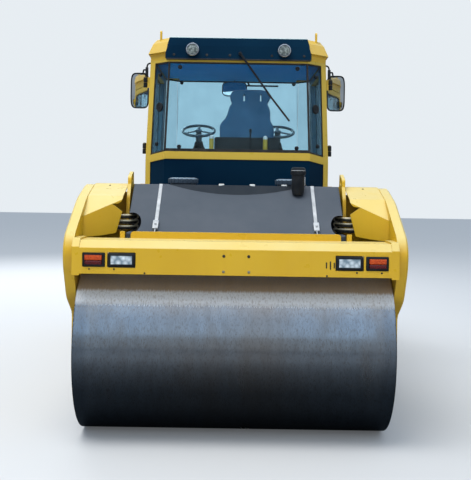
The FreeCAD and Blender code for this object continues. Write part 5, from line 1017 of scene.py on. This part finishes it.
post_trims = []
for side in (-1, 1):
    for y, width in ((-0.694, 0.074), (0.222, 0.060)):
        for low, high in ((1.36, SILL_BOTTOM), (SILL_BOTTOM, 2.768)):
            post_trims += wall_trim(side, (y, low), (y, high), width)
finished(post_trims, "post_trims", trim_grey)
for body, side in DOORS:
    trims = []
    for y in (-0.6185, 0.1535):
        for low, high in ((1.385, SILL_BOTTOM), (SILL_BOTTOM, 2.760)):
            trims += wall_trim(side, (y, low), (y, high), 0.050)
    for y, out in ((-0.5895, 1), (0.1245, -1)):
        for low, high in ((1.44, 1.93), (2.02, 2.705)):
            trims += wall_trim(side, (y, low), (y, high), 0.036, EDGE_DEPTH, (0, out, 0))
    for z, width in ((1.979, 0.074), (2.738, 0.046), (1.408, 0.046)):
        trims += wall_trim(side, (-0.642, z), (0.177, z), width)
    finished(trims, body.replace("door", "door_trims"), trim_grey, body)


# Seat: foam cushion and a tall shaped backrest with a slotted headrest, in worn blue woven cloth, on
# a black suspension base with a bellows; it stands turned a little off the cab's middle.
cloth = two_tone("seat_cloth", (7, 4, 0.35, 0.7), (0.030, 0.115, 0.230), (0.060, 0.165, 0.300), 0.92)
tree = cloth.node_tree
shader = tree.nodes["Principled BSDF"]
shader.inputs["Sheen Weight"].default_value = 0.1
warp = tree.nodes.new("ShaderNodeTexWave")
warp.inputs["Scale"].default_value = 160
warp.inputs["Distortion"].default_value = 1.5
tree.links.new(object_coordinates(tree), warp.inputs["Vector"])
tree.links.new(bumped(tree, warp.outputs["Fac"], 0.25, 0.0012), shader.inputs["Normal"])


def cushion(name, outline, thickness, crown):
    """Stuffed panel: an outline of (x, z) points filled, thickened along y, softened and crowned."""
    mesh = bpy.data.meshes.new(name)
    count = len(outline)
    half = thickness / 2
    points = [(x, -half, z) for x, z in outline] + [(x, half, z) for x, z in outline]
    sides = [(i, (i + 1) % count, count + (i + 1) % count, count + i) for i in range(count)]
    mesh.from_pydata(points, [], [tuple(range(count)), tuple(range(2 * count - 1, count - 1, -1))] + sides)
    pad = bpy.data.objects.new(name, mesh)
    bpy.context.collection.objects.link(pad)
    faces_out(pad)
    remesh = pad.modifiers.new("even", "REMESH")
    remesh.mode = "VOXEL"
    remesh.voxel_size = 0.012
    bpy.ops.object.modifier_apply(modifier=remesh.name)
    smooth = pad.modifiers.new("soft", "SMOOTH")
    smooth.factor = 0.6
    smooth.iterations = 6
    bpy.ops.object.modifier_apply(modifier=smooth.name)
    centre_x = sum(x for x, z in outline) / count
    width = max(abs(x - centre_x) for x, z in outline)
    for vertex in pad.data.vertices:
        edge = min(1.0, abs(vertex.co.x - centre_x) / width)
        vertex.co.y *= 1 + crown * (1 - edge * edge) - 0.12 * edge ** 4
    divide = pad.modifiers.new("fine", "SUBSURF")
    divide.levels = 1
    bpy.ops.object.modifier_apply(modifier=divide.name)
    return pad


SEAT_X, SEAT_Y = 0.090, -0.420
BACK_OUTLINE = (
    (-0.220, 1.812), (0.216, 1.812), (0.222, 1.950), (0.226, 2.225), (0.220, 2.262), (0.194, 2.292),
    (0.192, 2.385), (0.180, 2.420), (0.160, 2.442), (0.176, 2.462), (0.194, 2.500), (0.178, 2.545),
    (0.120, 2.567),
    (-0.088, 2.567), (-0.142, 2.548), (-0.158, 2.510), (-0.152, 2.468), (-0.134, 2.446), (-0.158, 2.425),
    (-0.176, 2.360), (-0.192, 2.318), (-0.222, 2.288), (-0.242, 2.255), (-0.242, 2.190), (-0.232, 1.950),
)
backrest = cushion("seat_backrest", BACK_OUTLINE, 0.098, 0.16)
backrest = moved(backrest, Matrix.Translation((SEAT_X, SEAT_Y - 0.268, 0)))
for offset in (-0.035, 0.108):
    x = SEAT_X + offset
    cutter = rounded_box((x - 0.0065, SEAT_Y - 0.400, 2.464), (x + 0.0065, SEAT_Y - 0.130, 2.528), 0.005, 3)
    picked([backrest])
    hole = backrest.modifiers.new("slit", "BOOLEAN")
    hole.object = cutter
    hole.operation = "DIFFERENCE"
    hole.solver = "EXACT"
    bpy.ops.object.modifier_apply(modifier=hole.name)
    bpy.data.objects.remove(cutter)
backrest = finished([backrest], "seat_backrest", cloth, angle=60)

SEAT_OUTLINE = (
    (-0.222, -0.212), (0.222, -0.212), (0.228, -0.05), (0.226, 0.14), (0.205, 0.235), (0.12, 0.255),
    (-0.12, 0.255), (-0.205, 0.235), (-0.226, 0.14), (-0.228, -0.05),
)
bottom = cushion("seat_cushion", SEAT_OUTLINE, 0.125, 0.10)
lying = Matrix.Rotation(math.radians(2), 4, "X") @ Matrix.Rotation(math.radians(90), 4, "X")
lying = lying @ Matrix.Diagonal((1, 1, -1, 1))
faces_out(moved(bottom, Matrix.Translation((SEAT_X, SEAT_Y, 1.762)) @ lying))
bottom = finished([bottom], "seat_cushion", cloth, angle=60)


def seat_block(half, back, front, low, high, radius):
    """Rounded block of the seat's base; back and front are counted from the seat's middle."""
    return rounded_box((SEAT_X - half, SEAT_Y + back, low), (SEAT_X + half, SEAT_Y + front, high), radius, 3)


folds = [seat_block(0.185, -0.329, -0.300, 1.860, 2.130, 0.012)]
for number in range(6):
    grow = 0.0 if number % 2 else 0.018
    z = 1.395 + 0.042 * number
    folds.append(seat_block(0.165 + grow, -0.180 - grow, 0.165 + grow, z, z + 0.044, 0.016))
folds.append(seat_block(0.190, -0.200, 0.190, 1.322, 1.400, 0.012))
folds.append(seat_block(0.190, -0.205, 0.190, 1.645, 1.705, 0.012))
folds.append(seat_block(0.110, -0.312, -0.180, 1.700, 1.880, 0.014))
base = finished(folds, "seat_base", black_plastic)
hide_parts("operator_seat")


# Steering wheels: two, with a thick moulded rim, three flat spokes and a hub cap, in light grey
# plastic that has gone dusty; each stands on a slim column from a tapered black console.
wheel_grey = painted(
    "wheel_grey", (0.150, 0.200, 0.225), (0.09, 0.12, 0.135), (0.30, 0.37, 0.40), (0.4, 0.1, 0.6, 0.1)
)
HUB_RINGS = ((-0.016, 0.024), (-0.008, 0.032), (0.006, 0.034), (0.010, 0.030), (0.013, 0.014))
COLUMNS = [Vector((0.010 + side * 0.375, 0.040, 2.254)) for side in (-1, 1)]
COLUMN_SLANT = math.radians(23)
wheels = []
for centre in COLUMNS:
    clear_selection()
    bpy.ops.mesh.primitive_torus_add(
        major_radius=0.150, minor_radius=0.0128, major_segments=64, minor_segments=16
    )
    rim = bpy.context.object
    for vertex in rim.data.vertices:
        wave = 1 + 0.04 * math.cos(24 * math.atan2(vertex.co.y, vertex.co.x))
        if vertex.co.z < 0:
            vertex.co.z *= wave
    pieces = [rim]
    for number in range(3):
        spoke = rounded_box((0.020, -0.013, -0.003), (0.146, 0.013, 0.006), 0.003)
        pieces.append(moved(spoke, Matrix.Rotation(math.radians(90 + 120 * number), 4, "Z")))
    pieces.append(turned(HUB_RINGS, (0, 0, 0), UP, 36))
    turn = Matrix.Rotation(COLUMN_SLANT, 4, "X")
    wheels.append(moved(joined(pieces), Matrix.Translation(centre) @ turn))
wheels = finished(wheels, "steering_wheel_pair", wheel_grey)
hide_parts("steering_wheels")

SILL_ROD_RINGS = ((0, 0.006), (0.165, 0.006), (0.170, 0.011), (0.195, 0.011), (0.200, 0.006))
rod = [turned(SILL_ROD_RINGS, (0.112, -0.853, 2.022), UP, 16)]
finished(rod, "sill_rod", black_plastic)


# Column shrouds: a slim grey sleeve round each steering column above a flared black boot.
COLUMN_DOWN = (0, math.sin(COLUMN_SLANT), -math.cos(COLUMN_SLANT))
COLUMN_SLEEVE_RINGS = ((0.018, 0.026), (0.030, 0.029), (0.110, 0.029), (0.118, 0.025))
BOOT_RINGS = ((0.105, 0.030), (0.112, 0.037), (0.150, 0.046), (0.215, 0.072), (0.225, 0.070))
sleeves = [turned(COLUMN_SLEEVE_RINGS, centre, COLUMN_DOWN, 28) for centre in COLUMNS]
boots = [turned(BOOT_RINGS, centre, COLUMN_DOWN, 28) for centre in COLUMNS]
finished(sleeves, "column_sleeves", wheel_grey)
finished(boots, "column_boots", black_plastic)


# Engine hood at the far end: a painted cover hinged at its nose, held down by two black rubber
# latches a side.
latches = []
for side in (-1, 1):
    face = side * 0.7675
    for y in (1.02, 1.44):
        low, high = sorted((face - side * 0.004, face + side * 0.0100))
        latches.append(rounded_box((low, y - 0.020, 1.235), (high, y + 0.020, 1.320), 0.0045))
        low, high = sorted((face + side * 0.004, face + side * 0.0165))
        latches.append(rounded_box((low, y - 0.012, 1.290), (high, y + 0.012, 1.312), 0.004))
finished(latches, "hood_latches", black_rubber, "hood")


# Access steps: a pressed anti-slip tread with rows of raised nibs in each step box.
NIB_RINGS = ((-0.001, 0.009), (0.003, 0.008), (0.0045, 0.005))
nibs = []
for side in (-1, 1):
    for row in range(3):
        for column in range(9):
            x = side * (0.915 + row * 0.060)
            y = -0.560 - column * 0.028
            nibs.append(turned(NIB_RINGS, (x, y, 0.370), UP, 10))
finished(nibs, "step_nibs", dark_paint)


# Cylinder glands: a chromed rod runs out of each steering barrel through a gland nut, with two hose
# unions on the barrel.
GLAND_RINGS = ((0, 0.051), (0.028, 0.051), (0.032, 0.047), (0.034, 0.040))
UNION_RINGS = ((0.044, 0.014), (0.058, 0.014), (0.060, 0.011), (0.075, 0.011))
for name, side in (("left", -1), ("right", 1)):
    barrel_pin = Vector((side * 0.460, -0.740, 0.775))
    rod_eye = Vector((side * 0.215, 0.045, 0.775))
    along = (rod_eye - barrel_pin).normalized()
    unions = [turned(GLAND_RINGS, barrel_pin + along * 0.488, along, 24)]
    for reach in (0.10, 0.44):
        unions.append(turned(UNION_RINGS, barrel_pin + along * reach, UP, 12))
    finished(unions, "cylinder_gland_" + name, dark_paint, "steering_barrel_" + name)
